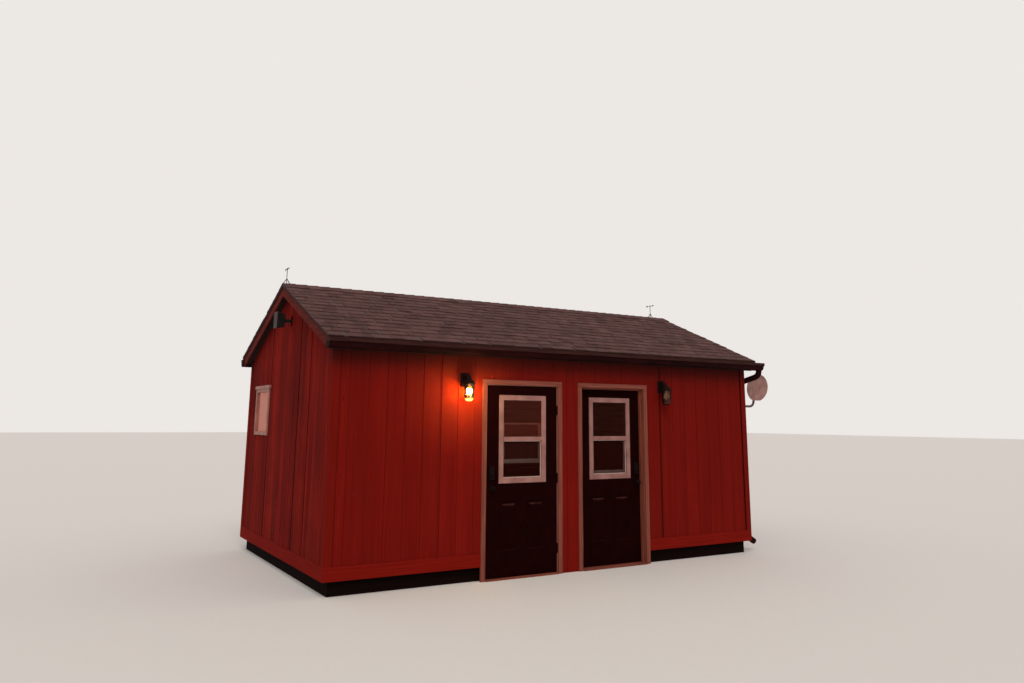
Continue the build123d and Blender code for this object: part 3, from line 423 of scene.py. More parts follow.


# outside, the dark stain at the bottom of the grooves is painted shade; on the long walls most of it is lifted, less at
# the sheet seams
wall = finish("stained_wall_with_pine_lining", ("#290704", "#380906", "#450c07"), 0.9, "front_wall_left",
              "front_wall_right", "front_wall_middle", "front_wall_header", "back_wall", "left_gable_wall",
              "right_gable_wall", lumps=(9, 9, 700), skin=(2.2, 2.2, 60), depth=0.6, shine=0.05)
tree = wall.node_tree
filled = on_long_wall(tree)
for seam, bare in zip(SHEET_SEAMS, SEAM_SHADE_KEPT):
    along = add(tree, "SUBTRACT", where(tree)[0], seam)
    at_seam = add(tree, "LESS_THAN", add(tree, "ABSOLUTE", along), 0.02)
    filled = add(tree, "MULTIPLY", filled, add(tree, "MULTIPLY_ADD", at_seam, -bare, 1.0))
overlay(wall, add(tree, "MULTIPLY", filled, 0.8), "#7d150d")
line_inside(wall)

# the base: rough beams soaked in black, which give back almost no light
beam_black = finish("stained_base_beam", ("#0a0403", "#110706", "#190b09"), 0.95, "base_long", "base_ends",
                    lumps=(400, 9, 9), skin=(60, 3, 3), depth=0.8, shine=0.05)
line_inside(beam_black)

# %% [markdown]
# The sheet siding is laid board by board as real strips with a bevelled edge, so that the
# grooves cast their own thin shadows; a bump would vanish at the corners and the doorways.
# A strip that meets a doorway, the window or the ridge is cut there, and its top follows
# the roof. No two grooves are cut alike, and where two sheets meet the groove is wider.

# %% Strips of siding
BOARD_WIDTH = 0.2032
STRIP_PROUD = 0.006
GROOVE_HALF = (0.0022, 0.0058)
SEAM_HALF = 0.012
GROOVE_BEVEL = 0.003
NARROWEST = 0.02
tones = random.Random(7)
Wall = namedtuple("Wall", "name place ends low top clear holes facing phase seams")


def spans_left(low, high, holes):
    """What stays of low to high after the holes that are (from, to) are taken out."""
    spans = []
    for start, end in sorted(holes):
        if start > low:
            spans.append((low, min(start, high)))
        low = max(low, end)
    return spans + [(low, high)] if low < high else spans


def siding_strips(wall):
    """Lays strips on a wall, whose place turns (along, out, up) into a point and whose top gives a height."""
    ends, place = wall.ends, wall.place
    first, last = (math.ceil((end - wall.phase) / BOARD_WIDTH) for end in ends)
    grooves = [ends[0]] + [wall.phase + k * BOARD_WIDTH for k in range(first, last)] + [ends[1]]
    half_gaps = {groove: tones.uniform(*GROOVE_HALF) for groove in grooves}
    # each groove's edge gets a painted highlight above zero and painted shade below zero; a seam between sheets gets
    # the darkest painted shade
    edge_highlight_and_shade = {groove: tones.uniform(-0.7, 0.9) for groove in grooves}
    for seam in wall.seams:
        nearest = min(grooves, key=lambda groove: abs(groove - seam))
        half_gaps[nearest] = SEAM_HALF
        edge_highlight_and_shade[nearest] = -1.0
    mesh = bmesh.new()
    tone_layer = mesh.verts.layers.float.new("board_tone")
    highlight_and_shade_layer = mesh.verts.layers.float.new("groove_edge_highlight_and_shade")
    for left, right in zip(grooves, grooves[1:]):
        shade = tones.random()
        if right - left < NARROWEST:
            continue
        at_holes = {h for hole in wall.holes for h in hole[:2] if left < h < right}
        at_ridge = {0.0} if left < 0 < right else set()
        cuts = sorted({left, right} | at_holes | at_ridge)
        for a, b in zip(cuts, cuts[1:]):
            a0, a1 = (a + half_gaps[left], a + half_gaps[left] + GROOVE_BEVEL) if a == left else (a, a)
            b0, b1 = (b - half_gaps[right], b - half_gaps[right] - GROOVE_BEVEL) if b == right else (b, b)
            roof = min(wall.top(a), wall.top(b)) - wall.clear
            covered = [hole[2:] for hole in wall.holes if hole[0] < (a + b) / 2 < hole[1]]
            for z0, z1 in spans_left(wall.low((a + b) / 2), roof, covered):
                top_a, top_b = (wall.top(a0) - wall.clear, wall.top(b0) - wall.clear) if z1 == roof else (z1, z1)
                corners = [place(u, out, z) for out, low_a, low_b in ((0, a0, b0), (STRIP_PROUD, a1, b1))
                           for u, z in ((low_a, z0), (low_b, z0), (low_b, top_b), (low_a, top_a))]
                edges = (edge_highlight_and_shade[left], edge_highlight_and_shade[right], edge_highlight_and_shade[right], edge_highlight_and_shade[left], 0.0, 0.0, 0.0, 0.0)
                for vert, edge in zip(solid(mesh, corners, BOX_FACES), edges):
                    vert[tone_layer] = shade
                    vert[highlight_and_shade_layer] = edge
    bmesh.ops.recalc_face_normals(mesh, faces=mesh.faces)
    return make_piece(f"{wall.name}_siding", mesh, siding, "building")


print("boards", BOARD_WIDTH, "m wide and", STRIP_PROUD, "m proud of the wall")

# %% [markdown]
# Each wall is written as one row: how a place on it becomes a point, where it ends, how low
# and how high its siding goes, its openings, and where its grooves and sheet seams fall.
# The strips and later the nails both read this row, so they agree on every opening.

# %% Siding on the four walls
WINDOW_HALF = 0.32
STRIP_FOOT = 0.01
casings = [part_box(f"{which}_door_casing") for which in ("left", "right")]
door_holes = [(low.x, high.x, -1.0, high.z) for low, high in casings]
window_low, window_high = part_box("gable_window_frame")
window_middle = (window_low.y + window_high.y) / 2
window_hole = (window_middle - WINDOW_HALF, window_middle + WINDOW_HALF, window_low.z, window_high.z)
long_ends = (-corner_inner_x, corner_inner_x)
short_ends = (-corner_inner_y, corner_inner_y)


def front_low(x):
    """The strip between the doorways runs down to the ground; the rest stops on the bottom board."""
    return STRIP_FOOT if casings[0][1].x < x < casings[1][0].x else bottom_top


def on_band(u):
    """Siding that stands on the bottom board."""
    return bottom_top


def under_eave(x):
    """The top of a long wall, level all along."""
    return eave_z


def soffit(y):
    """Underside of the roof at a distance y from the ridge line."""
    return eave_z + (-front_face - abs(y)) * ROOF_RISE


walls = (
    Wall("front", lambda u, n, z: (u, front_face - n, z), long_ends, front_low, under_eave, 0.003, door_holes, "-y",
         0.15, SHEET_SEAMS),
    Wall("back", lambda u, n, z: (u, -front_face + n, z), long_ends, on_band, under_eave, 0.003, (), "+y", 0.0, ()),
    Wall("left_gable", lambda u, n, z: (gable_face - n, u, z), short_ends, on_band, soffit, 0.002, [window_hole], "-x",
         0.045, (-0.97, -0.565, 0.65)),
    Wall("right_gable", lambda u, n, z: (-gable_face + n, u, z), short_ends, on_band, soffit, 0.002, (), "+x", 0.045,
         (-0.565, 0.65)),
)
for wall_row in walls:
    siding_strips(wall_row)

# %% [markdown]
# The roof is covered with brown asphalt shingles: courses of tabs about 142 mm high, each
# with a thick lower edge that throws a thin shadow, and mineral granules that never match.
# Granules make the surface rough and without gloss. Real ones are 1 to 2 mm across, which
# is too fine to show, so they are drawn 4 mm coarse. Painted shade darkens the head of a
# tab, where the next one laps it.

# %% Shingle finish
shingle = finish("asphalt_shingle_granules", ("#3c2523", "#5f4341", "#80605c"), 0.95, lumps=(4, 4, 4),
                 skin=(2.0, 2.0, 2.0), depth=1.2, shine=0.1)
tree = shingle.node_tree
tab_tone = add(tree, "ShaderNodeAttribute", out="Fac", attribute_name="tab_tone")
overlay(shingle, 1.0, add(tree, RAMP, tab_tone, stops=(
    (0.0, "#c6bfbf"), (0.3, "#dcd7d6"), (0.75, "#ebe7e6"), (1.0, "#f9f6f6"))), "MULTIPLY")
up_tab = add(tree, "ShaderNodeAttribute", out="Fac", attribute_name="tab_fall")
# painted shade at the head of each tab, under the butt of the next course
lap_shade = add(tree, "MULTIPLY", add(tree, RANGE, up_tab, 0.62, 0.86, 0.0, 0.85),
               add(tree, RANGE, mottle(tree, (110, 40, 40)), 0.38, 0.62))
overlay(shingle, lap_shade, "#231716")
# what shows of the roof's solids, at its edges: the same sheet cut through, greyer and darker
finish("asphalt_shingle_edge", ("#2f2220", "#463432", "#5a4542"), 0.95, "front_shingles", "rear_shingles", "ridge_cap",
       lumps=(3, 3, 3), skin=(2, 2, 2), depth=1.0)

# %% [markdown]
# Thousands of like tabs are a rule, so Geometry Nodes lay them, and later the ridge caps,
# straps and nails. A tree is built once with named sizes, runs on a mesh, and its result
# is kept as a plain mesh, because a mesh that stays as instances would be lost in export.

# %% Trees in Geometry Nodes


def new_tree(name, **inputs):
    """An empty tree with named inputs; returns it, the inputs' sockets and the output node."""
    tree = bpy.data.node_groups.new(name, "GeometryNodeTree")
    for label, kind in {"Geometry": "Geometry", **inputs}.items():
        tree.interface.new_socket(label, in_out="INPUT", socket_type=f"NodeSocket{kind}")
    tree.interface.new_socket("Geometry", in_out="OUTPUT", socket_type="NodeSocketGeometry")
    print("tree", name, "takes", *inputs)
    return tree, tree.nodes.new("NodeGroupInput").outputs, tree.nodes.new("NodeGroupOutput")


def grow(name, tree, values, seed_mesh=None):
    """Runs a tree on a mesh and returns the result as a plain bmesh."""
    seed = seed_mesh or bpy.data.meshes.new(name)
    holder = set_out(name + "_grown", seed)
    modifier = holder.modifiers.new("grow", "NODES")
    modifier.node_group = tree
    for item in tree.interface.items_tree:
        if item.in_out == "INPUT" and item.name in values:
            modifier[item.identifier] = values[item.name]
    view = bpy.context.evaluated_depsgraph_get()
    data = bpy.data.meshes.new_from_object(holder.evaluated_get(view))
    holder.modifiers.clear()
    bpy.data.objects.remove(holder)
    mesh = bmesh.new()
    mesh.from_mesh(data)
    bpy.data.meshes.remove(data)
    bpy.data.meshes.remove(seed)
    return mesh


def finish_tree(tree, geometry, sockets, output):
    """Every tree ends in plain mesh with its material."""
    realized = add(tree, "GeometryNodeRealizeInstances", {"Geometry": geometry})
    coated = add(tree, "GeometryNodeSetMaterial", {"Geometry": realized, "Material": sockets["Finish"]})
    tree.links.new(coated, output.inputs[0])


print("trees so far:", len(bpy.data.node_groups))

# %% [markdown]
# The shingle tree starts from a grid of points, one for each tab, with every other row
# moved by half a tab and each tab astray by a little. A cube pressed into a wedge, thick
# at its lower edge, is set on each point. How far up the tab a corner is and a random
# tone are kept as attributes, because the finish reads them.

# %% The shingle tree
shingle_tree, put, out = new_tree("shingle_courses", Columns="Int", Rows="Int", Tab="Float", Course="Float",
                                  Butt="Float", Seed="Int", Finish="Material")
tree = shingle_tree
seeds = [add(tree, "ADD", put["Seed"], k) for k in range(4)]
column_gaps = add(tree, "SUBTRACT", put["Columns"], 1)
row_gaps = add(tree, "SUBTRACT", put["Rows"], 1)
grid = add(tree, "GeometryNodeMeshGrid", {
    "Size X": add(tree, "MULTIPLY", column_gaps, put["Tab"]),
    "Size Y": add(tree, "MULTIPLY", row_gaps, put["Course"]),
    "Vertices X": put["Columns"], "Vertices Y": put["Rows"]})
row = add(tree, "MODULO", add(tree, "GeometryNodeInputIndex"), put["Rows"])
odd_row = add(tree, "MODULO", row, 2)
astray = add(tree, RANDOM, {2: -0.14, 3: 0.14, "Seed": seeds[0]}, out=1)
shift = add(tree, "MULTIPLY", add(tree, "MULTIPLY_ADD", odd_row, 0.5, astray), put["Tab"])
points = add(tree, "GeometryNodeSetPosition", {"Geometry": grid, "Offset": add(tree, JOIN, shift)})

cube = add(tree, "GeometryNodeMeshCube", {"Size": (1.0, 1.0, 1.0)})
spot = add(tree, SPLIT, add(tree, "GeometryNodeInputPosition"), out=None)
up_tab = add(tree, "ADD", spot[1], 0.5)
thinning = add(tree, "MULTIPLY", up_tab, -0.85)
lift = add(tree, "MULTIPLY_ADD", add(tree, "ADD", spot[2], 0.5), thinning, 0.5)
marked = add(tree, "GeometryNodeStoreNamedAttribute", {"Geometry": cube, "Name": "tab_fall", "Value": up_tab})
wedge = add(tree, "GeometryNodeSetPosition", {"Geometry": marked, "Offset": add(tree, JOIN, {2: lift})})
width_share = add(tree, RANDOM, {2: 0.86, 3: 1.1, "Seed": seeds[1]}, out=1)
butt_share = add(tree, RANDOM, {2: 0.5, 3: 1.7, "Seed": seeds[2]}, out=1)
size = add(tree, JOIN, add(tree, "MULTIPLY", put["Tab"], width_share),
           add(tree, "MULTIPLY", put["Course"], 1.1),
           add(tree, "MULTIPLY", put["Butt"], butt_share))
placed = add(tree, "GeometryNodeInstanceOnPoints", {"Points": points, "Instance": wedge, "Scale": size})
chance = add(tree, RANDOM, {2: 0.0, 3: 1.0, "Seed": seeds[3]}, out=1)
toned = add(tree, "GeometryNodeStoreNamedAttribute", {"Geometry": placed, "Name": "tab_tone", "Value": chance},
            domain="INSTANCE")
finish_tree(tree, toned, put, out)

# %% [markdown]
# The tree lays one flat field of tabs, a little wider than the roof. It is trimmed like
# real courses at the rakes and the ridge, tilted to the slope, and turned for the back.

# %% Lay both slopes
ROWS = 14
TAB = 0.165
BUTT = 0.0065
RAKE_REACH = 0.004
shingle_low, shingle_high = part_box("front_shingles")
slope_run = -shingle_low.y
roof_half = shingle_high.x
pitch = math.atan(ROOF_RISE)
slope_length = slope_run / math.cos(pitch)


def trim(mesh, point, normal):
    """Cuts off what lies beyond a plane and closes the cut."""
    everything = mesh.verts[:] + mesh.edges[:] + mesh.faces[:]
    cut = bmesh.ops.bisect_plane(mesh, geom=everything, plane_co=point, plane_no=normal, clear_outer=True)["geom_cut"]
    rims = [e for e in cut if isinstance(e, bmesh.types.BMEdge)]
    bmesh.ops.edgenet_fill(mesh, edges=rims)
    bmesh.ops.recalc_face_normals(mesh, faces=mesh.faces)


columns = math.ceil(2 * roof_half / TAB) + 3
for which, turn, seed in (("front", 0.0, 11), ("rear", math.pi, 3)):
    mesh = grow(which, shingle_tree, {"Columns": columns, "Rows": ROWS, "Tab": TAB, "Course": slope_length / ROWS,
                                      "Butt": BUTT, "Seed": seed, "Finish": shingle})
    for x in (-1, 1):
        trim(mesh, (x * (roof_half + RAKE_REACH), 0, 0), (x, 0, 0))
    trim(mesh, (0, slope_length / 2, 0), (0, 1, 0))
    eave = Matrix.Translation((0, -slope_run, shingle_high.z - slope_run * ROOF_RISE))
    mesh.transform(Matrix.Rotation(turn, 4, "Z") @ eave @ Matrix.Rotation(pitch, 4, "X")
                   @ Matrix.Translation((0, slope_length / 2, 0)))
    make_piece(f"{which}_shingle_courses", mesh, shingle, "building")
print("courses of", round(slope_length / ROWS, 3), "m")

# %% [markdown]
# Along the ridge lie bent cap shingles, each lapping the next. They follow one line, so a
# second, shorter tree makes them: a bent slab on every point of a line.

# %% Ridge caps
CAP_COURSE = 0.143
CAP_REACH = 0.152
CAP_BUTT = 0.006
cap_tree, put, out = new_tree("ridge_caps", Pieces="Int", Course="Float", Reach="Float", Butt="Float", Rise="Float",
                              Seed="Int", Finish="Material")
tree = cap_tree
line = add(tree, "GeometryNodeMeshLine", {"Count": put["Pieces"], "Offset": add(tree, JOIN, put["Course"])})
slab_size = add(tree, JOIN, add(tree, "MULTIPLY", put["Course"], 1.12),
                add(tree, "MULTIPLY", put["Reach"], 2), put["Butt"])
slab = add(tree, "GeometryNodeMeshCube", {"Size": slab_size, "Vertices X": 2, "Vertices Y": 3, "Vertices Z": 2})
spot = add(tree, SPLIT, add(tree, "GeometryNodeInputPosition"), out=None)
lap = add(tree, "MULTIPLY", add(tree, "DIVIDE", spot[0], put["Course"]), put["Butt"])
bend = add(tree, "MULTIPLY_ADD", add(tree, "ABSOLUTE", spot[1]),
           add(tree, "MULTIPLY", put["Rise"], -1), lap)
bent = add(tree, "GeometryNodeSetPosition", {"Geometry": slab, "Offset": add(tree, JOIN, {2: bend})})
wide = add(tree, RANDOM, {2: 0.97, 3: 1.03, "Seed": put["Seed"]}, out=1)
placed = add(tree, "GeometryNodeInstanceOnPoints", {
    "Points": line, "Instance": bent, "Scale": add(tree, JOIN, 1.0, wide, 1.0)})
chance = add(tree, RANDOM, {2: 0.0, 3: 1.0, "Seed": add(tree, "ADD", put["Seed"], 3)}, out=1)
toned = add(tree, "GeometryNodeStoreNamedAttribute", {"Geometry": placed, "Name": "tab_tone", "Value": chance},
            domain="INSTANCE")
finish_tree(tree, toned, put, out)

caps = round(2 * roof_half / CAP_COURSE)
mesh = grow("caps", cap_tree, {"Pieces": caps, "Course": 2 * roof_half / caps, "Reach": CAP_REACH, "Butt": CAP_BUTT,
                               "Rise": ROOF_RISE, "Seed": 5, "Finish": shingle})
mesh.transform(Matrix.Translation((-roof_half + roof_half / caps, 0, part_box("ridge_cap")[1].z + 0.002)))
for x in (-1, 1):
    trim(mesh, (x * (roof_half + RAKE_REACH), 0, 0), (x, 0, 0))
make_piece("ridge_cap_shingles", mesh, shingle, "building")

# %% [markdown]
# Gutters and downspouts are aluminium with a baked brown enamel: smooth, dark and dull,
# with dust and a painted highlight on the lip. The doors are pressed steel in satin black, as
# even as a sheet can be, with dust and a painted highlight on the faces that look up, most above
# their panels. Both are laid by place and by which way a face looks, where a plain noise would
# spot the whole piece.

# %% Gutter and door finishes
LIP_HEIGHT = 0.034
PANEL_CREST = 0.764
gutter_brown = finish("baked_brown_enamel", ("#180405", "#1f0607", "#280a0a"), 0.7, "front_gutter", "rear_gutter",
                      "downspouts", lumps=(300, 60, 60), skin=(25, 25, 25), depth=0.3, shine=0.04)
tree = gutter_brown.node_tree
# the lip is drawn paler than the rest: dust and a painted highlight
on_lip = add(tree, "GREATER_THAN", where(tree)[2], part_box("front_gutter")[1].z - LIP_HEIGHT)
lip_dust_and_highlight = add(tree, RAMP, mottle(tree, (300, 90, 20)), stops=((0.35, "#2e1816"), (0.65, "#3d2220")))
overlay(gutter_brown, on_lip, lip_dust_and_highlight)

door_steel = finish("satin_black_steel", ("#170505", "#190505", "#1d0606"), 0.7, "left_door_slab", "right_door_slab",
                    lumps=(120, 120, 160), skin=(4, 4, 9), depth=0.12, shine=0.0)
tree = door_steel.node_tree
# dust and a painted highlight on faces that look up, most above the panels
facing_up = add(tree, SPLIT, add(tree, "ShaderNodeNewGeometry", out="True Normal"), out=2)
above_panels = add(tree, "GREATER_THAN", where(tree)[2], PANEL_CREST)
dust_and_highlight_above = add(tree, "MULTIPLY", add(tree, RANGE, facing_up, 0.04, 0.16),
              add(tree, "MULTIPLY_ADD", above_panels, 0.6, 0.2))
patchy_dust_and_highlight = add(tree, "MULTIPLY", dust_and_highlight_above, mottle(tree, (60, 60, 60)))
overlay(door_steel, 1.0, add(tree, RAMP, patchy_dust_and_highlight, stops=((0.05, "#000000"), (0.5, "#37211f"))), "ADD")

# %% [markdown]
# The fittings are small, so each gets one plain finish whose skin tells how it was made: a
# pebbled skin for a casting, a fine even one for a moulding, spangle for dipped zinc.

# %% Metal and plastic fittings
# hinges, locks and knobs: steel with black oxide, close to no colour, with dull small glints
hardware = finish("black_oxide_metal", ("#0b0405", "#13080a", "#1d0f10"), 0.65, "frame_hinges", "left_door_hinges",
                  "right_door_hinges", "left_door_lock", "right_door_lock", "left_door_knob", "right_door_knob",
                  lumps=(20, 20, 20), skin=(3, 3, 3), depth=0.08, shine=0.03)
# lanterns: sand-cast aluminium under black paint, faintly pebbled
cast_black = finish("black_cast_aluminium", ("#0e0706", "#180c0a", "#241410"), 0.65, "left_lantern", "right_lantern",
                    "lantern_guards", lumps=(15, 15, 15), skin=(2, 2, 2), depth=0.25, shine=0.06)
# window frames in the doors: moulded vinyl, even and pale, with a soft broad highlight
finish("white_moulded_vinyl", ("#7f554f", "#8e635d", "#9b706a"), 0.5, "left_door_lite", "right_door_lite",
       lumps=(150, 150, 150), skin=(6, 6, 6), depth=0.08, shine=0.2)
# sliding sashes: extruded vinyl, drawn lighter than the frames round them, a painted highlight that makes up for the
# shade of the glass and screen in front
finish("white_extruded_sash", ("#d2aea5", "#dfbdb4", "#e8c9c1"), 0.5, "left_door_sash", "right_door_sash",
       lumps=(150, 150, 150), skin=(6, 6, 6), depth=0.05, shine=0.2)
# the gable window's frame: tan vinyl, streaked a little by rain
finish("tan_window_trim", ("#85564b", "#956357", "#a37064"), 0.55, "gable_window_frame", lumps=(80, 80, 200),
       skin=(5, 5, 20), depth=0.15, shine=0.3)
# the dish's arm: zinc spangle, patches of about 12 mm in paler and darker grey under a broad glint
finish("galvanised_tube", ("#4b4542", "#5f5854", "#746d68"), 0.45, "dish_mount", metallic=1.0, lumps=(12, 12, 12),
       skin=(6, 6, 6), depth=0.08)
# the dish: powder coat, even and matt
finish("powder_coated_dish", ("#7d5651", "#8f6660", "#9b726c"), 0.6, "dish", lumps=(90, 90, 90), skin=(3, 3, 3),
       depth=0.08)
# the vanes: rolled iron left in the weather, dark, with brown bloom between bare spots
finish("weathered_vane_iron", ("#1b1514", "#2b211f", "#3d2f2b"), 0.6, "vane_rods", "left_vane_arrow",
       "right_vane_arrow", metallic=0.7, lumps=(10, 10, 10), skin=(4, 4, 4), depth=0.15)
# the loudspeaker: a case moulded with a fine grit that kills its gloss, and a painted steel grille
finish("textured_speaker_case", ("#0c0707", "#130c0b", "#1b1211"), 0.7, "speaker", "speaker_bracket",
       lumps=(30, 30, 30), skin=(1.5, 1.5, 1.5), depth=0.2, shine=0.25)
finish("painted_speaker_grille", ("#241413", "#301c1a", "#3b2523"), 0.6, "speaker_grille", lumps=(8, 8, 8),
       skin=(2, 2, 2), depth=0.2)

# %% [markdown]
# Window glass is drawn as a clear sheet that mostly lets light through and mirrors more at
# a glancing angle. A solid refracting glass would be truer up close, but it would block
# the lamp inside the jar, so the thin sheet is used for panes and jars alike. Float glass
# is smooth and mirrors sharply; pressed glass is wavy, so its mirror is blurred. The
# mirror's colour stands for the evening sky in it, and a film stands for dust.

# %% Glass


def thin_glass(name, tint, clear, *solids, roughness=0.03, mirror_tone="#ffffff", ior=1.5, film_tone="#b0a098",
               dusty_behind=None):
    """A sheet that mirrors by its angle and lets the rest through in a tint; clear is how much passes.

    A sheet that lies behind the given y has more dust on it.
    """
    material = bpy.data.materials.new(name)
    material.use_nodes = True
    tree = material.node_tree
    tree.nodes.remove(tree.nodes["Principled BSDF"])
    mirror = add(tree, "ShaderNodeBsdfGlossy", {"Color": paint(mirror_tone), "Roughness": roughness})
    through = add(tree, "ShaderNodeBsdfTransparent", {"Color": paint(tint)})
    film = add(tree, "ShaderNodeBsdfDiffuse", {"Color": paint(film_tone)})
    uneven = add(tree, "MULTIPLY_ADD", mottle(tree, (90, 90, 120)), 0.5, 0.75)
    dust = add(tree, "MULTIPLY", uneven, 1 - clear)
    if dusty_behind is not None:
        behind = add(tree, "GREATER_THAN", where(tree)[1], dusty_behind)
        dust = add(tree, "MULTIPLY_ADD", behind, 0.2, dust)
    sheet = add(tree, "ShaderNodeMixShader", dust, through, film)
    angle = add(tree, "ShaderNodeFresnel", {"IOR": ior})
    glass = add(tree, "ShaderNodeMixShader", angle, sheet, mirror)
    tree.links.new(glass, tree.nodes["Material Output"].inputs["Surface"])
    dress(material, *solids)
    return material


left_pane_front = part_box("left_door_glass")[0].y
thin_glass("left_door_pane_glass", "#e2d0ca", 0.98, "left_door_glass", mirror_tone="#be5f4e", film_tone="#a66e62",
           dusty_behind=left_pane_front + 0.01)
thin_glass("right_door_pane_glass", "#e2d0ca", 0.98, "right_door_glass", mirror_tone="#5f2b23", film_tone="#a66e62")
jar = thin_glass("pressed_jar_glass", "#e2d3ca", 0.96, "lantern_jars", roughness=0.15, mirror_tone="#8f7468")
# the gable pane: a strong pink mirror and a pink film over half of it, a painted reflection of the evening sky
thin_glass("gable_pane_glass", "#e0a596", 0.5, "gable_window_glass", roughness=0.05, mirror_tone="#f5a594", ior=2.1,
           film_tone="#dc9c8c")

# %% [markdown]
# Each door window slides open behind an insect screen. The screen is a fibreglass weave
# on a thin frame: from a few metres its threads melt into a dark veil, so a thin sheet
# that is partly see-through stands for the weave, and the frame is solid.

# %% Insect screens
SCREEN_FRONT, SCREEN_BEHIND = 0.021, 0.028
SCREEN_RAIL = 0.009
SCREEN_FOOT, SCREEN_HEAD = 0.0575, 0.0225
CLOTH_FRONT, CLOTH_BEHIND = 0.003, 0.0036
screen_cloth = bpy.data.materials.new("fibreglass_insect_screen")
screen_cloth.use_nodes = True
tree = screen_cloth.node_tree
tree.nodes.remove(tree.nodes["Principled BSDF"])
thread = add(tree, "ShaderNodeBsdfDiffuse", {"Color": paint("#2e0f0b"), "Roughness": 0.8})
hole = add(tree, "ShaderNodeBsdfTransparent", {"Color": paint("#ffffff")})
veil = add(tree, "MULTIPLY_ADD", mottle(tree, (60, 60, 90)), 0.1, 0.42)
tree.links.new(add(tree, "ShaderNodeMixShader", veil, hole, thread), tree.nodes["Material Output"].inputs["Surface"])
# rolled aluminium with white paint: smooth, and paler than the vinyl round it
screen_frame = finish("white_screen_frame", ("#a58a81", "#b79b91", "#c4a99f"), 0.5, lumps=(80, 80, 80),
                      skin=(6, 6, 6), depth=0.05, shine=0.3)
for which in ("left", "right"):
    low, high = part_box(f"{which}_door_lite")
    sash_low, sash_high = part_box(f"{which}_door_sash")
    front, behind = low.y + SCREEN_FRONT, low.y + SCREEN_BEHIND
    x0, x1 = sash_low.x + 0.0005, sash_high.x - 0.0005
    z0, z1 = low.z + SCREEN_FOOT, (low.z + high.z) / 2 - SCREEN_HEAD
    inner = (x0 + SCREEN_RAIL, x1 - SCREEN_RAIL, z0 + SCREEN_RAIL, z1 - SCREEN_RAIL)
    mesh = bmesh.new()
    bar(mesh, (x0, front, z0), (inner[0], behind, z1))
    bar(mesh, (inner[1], front, z0), (x1, behind, z1))
    bar(mesh, (inner[0], front, z0), (inner[1], behind, inner[2]))
    bar(mesh, (inner[0], front, inner[3]), (inner[1], behind, z1))
    make_piece(f"{which}_screen_frame", mesh, screen_frame, f"{which}_door")
    mesh = bmesh.new()
    bar(mesh, (inner[0], front + CLOTH_FRONT, inner[2]), (inner[1], front + CLOTH_BEHIND, inner[3]))
    make_piece(f"{which}_insect_screen", mesh, screen_cloth, f"{which}_door")

# %% [markdown]
# The left lantern is switched on and the right one is off, and both bulbs are one solid.
# The light is therefore switched by place: only the lower part of the left bulb glows,
# as its neck is hidden in the socket. A thin sheet can't gather light as the thick foot of
# a pressed jar does, so the foot of the left jar is given a little glow of its own, and a
# small warm lamp in front of the jar stands for the light that its ribs spread sideways.

# %% Bulbs and lamplight
LAMP_LEVEL = 600.0
NECK, NECK_END = 0.042, 0.062
FOOT_GLOW = 1.8
jar_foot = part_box("lantern_jars")[0].z
bulb_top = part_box("lantern_bulbs")[1].z
# frosted glass: a milky white with no grain of its own
bulb = finish("frosted_bulb_glass", ("#d9cfc6", "#e6ddd3", "#efe7de"), 0.3, "lantern_bulbs", lumps=(20, 20, 20),
              skin=(5, 5, 5), depth=0.05)


def on_left(tree, low, high, most):
    """On the left half of the hut, a value that grows from 0 at a height low to most at high."""
    x, y, z = where(tree)
    is_left = add(tree, "LESS_THAN", x, 0.0)
    return add(tree, "MULTIPLY", is_left, add(tree, RANGE, z, low, high, 0.0, most))


shader = bulb.node_tree.nodes["Principled BSDF"]
shader.inputs["Emission Color"].default_value = paint("#ffc860")
bulb.node_tree.links.new(on_left(bulb.node_tree, bulb_top - NECK, bulb_top - NECK_END, LAMP_LEVEL),
                         shader.inputs["Emission Strength"])
tree = jar.node_tree
surface = tree.nodes["Material Output"].inputs["Surface"]
glow = add(tree, "ShaderNodeEmission", {
    "Color": paint("#ffc565"), "Strength": on_left(tree, jar_foot + 0.035, jar_foot + 0.01, FOOT_GLOW)})
tree.links.new(add(tree, "ShaderNodeAddShader", surface.links[0].from_socket, glow), surface)

spread_data = bpy.data.lights.new("lantern_spread", "POINT")
spread_data.energy = 9.0
spread_data.color = (1.0, 0.86, 0.3)
spread_data.shadow_soft_size = 0.05
spread = set_out("lantern_spread", spread_data)
spread.location = (lantern_x, lantern_low.y - 0.09, jar_foot + 0.03)
print("bulb lit from", round(bulb_top - NECK, 3), "m down, spread lamp", spread_data.energy, "W")

# %% [markdown]
# Nails, screws, keypad buttons and the holes of a grille are all small round heads in rows.
# One tree sets a head on every point that it is given, so each use only lists its points,
# its radii and the way that it faces.

# %% A tree for small round heads
head_tree, put, out = new_tree("round_heads", Foot="Float", Top="Float", Height="Float", Turn="Vector", Spread="Float",
                               Seed="Int", Finish="Material")
tree = head_tree
head = add(tree, "GeometryNodeMeshCone", {"Vertices": 8, "Radius Top": put["Top"], "Radius Bottom": put["Foot"],
                                          "Depth": put["Height"]})
smallest = add(tree, "SUBTRACT", 1, put["Spread"])
largest = add(tree, "ADD", 1, put["Spread"])
scale = add(tree, RANDOM, {2: smallest, 3: largest, "Seed": put["Seed"]}, out=1)
placed = add(tree, "GeometryNodeInstanceOnPoints", {
    "Points": put["Geometry"], "Instance": head, "Rotation": put["Turn"], "Scale": scale})
finish_tree(tree, placed, put, out)

QUARTER = math.pi / 2
FACING = {"-y": (QUARTER, 0, 0), "+y": (-QUARTER, 0, 0), "-x": (0, -QUARTER, 0), "+x": (0, QUARTER, 0)}


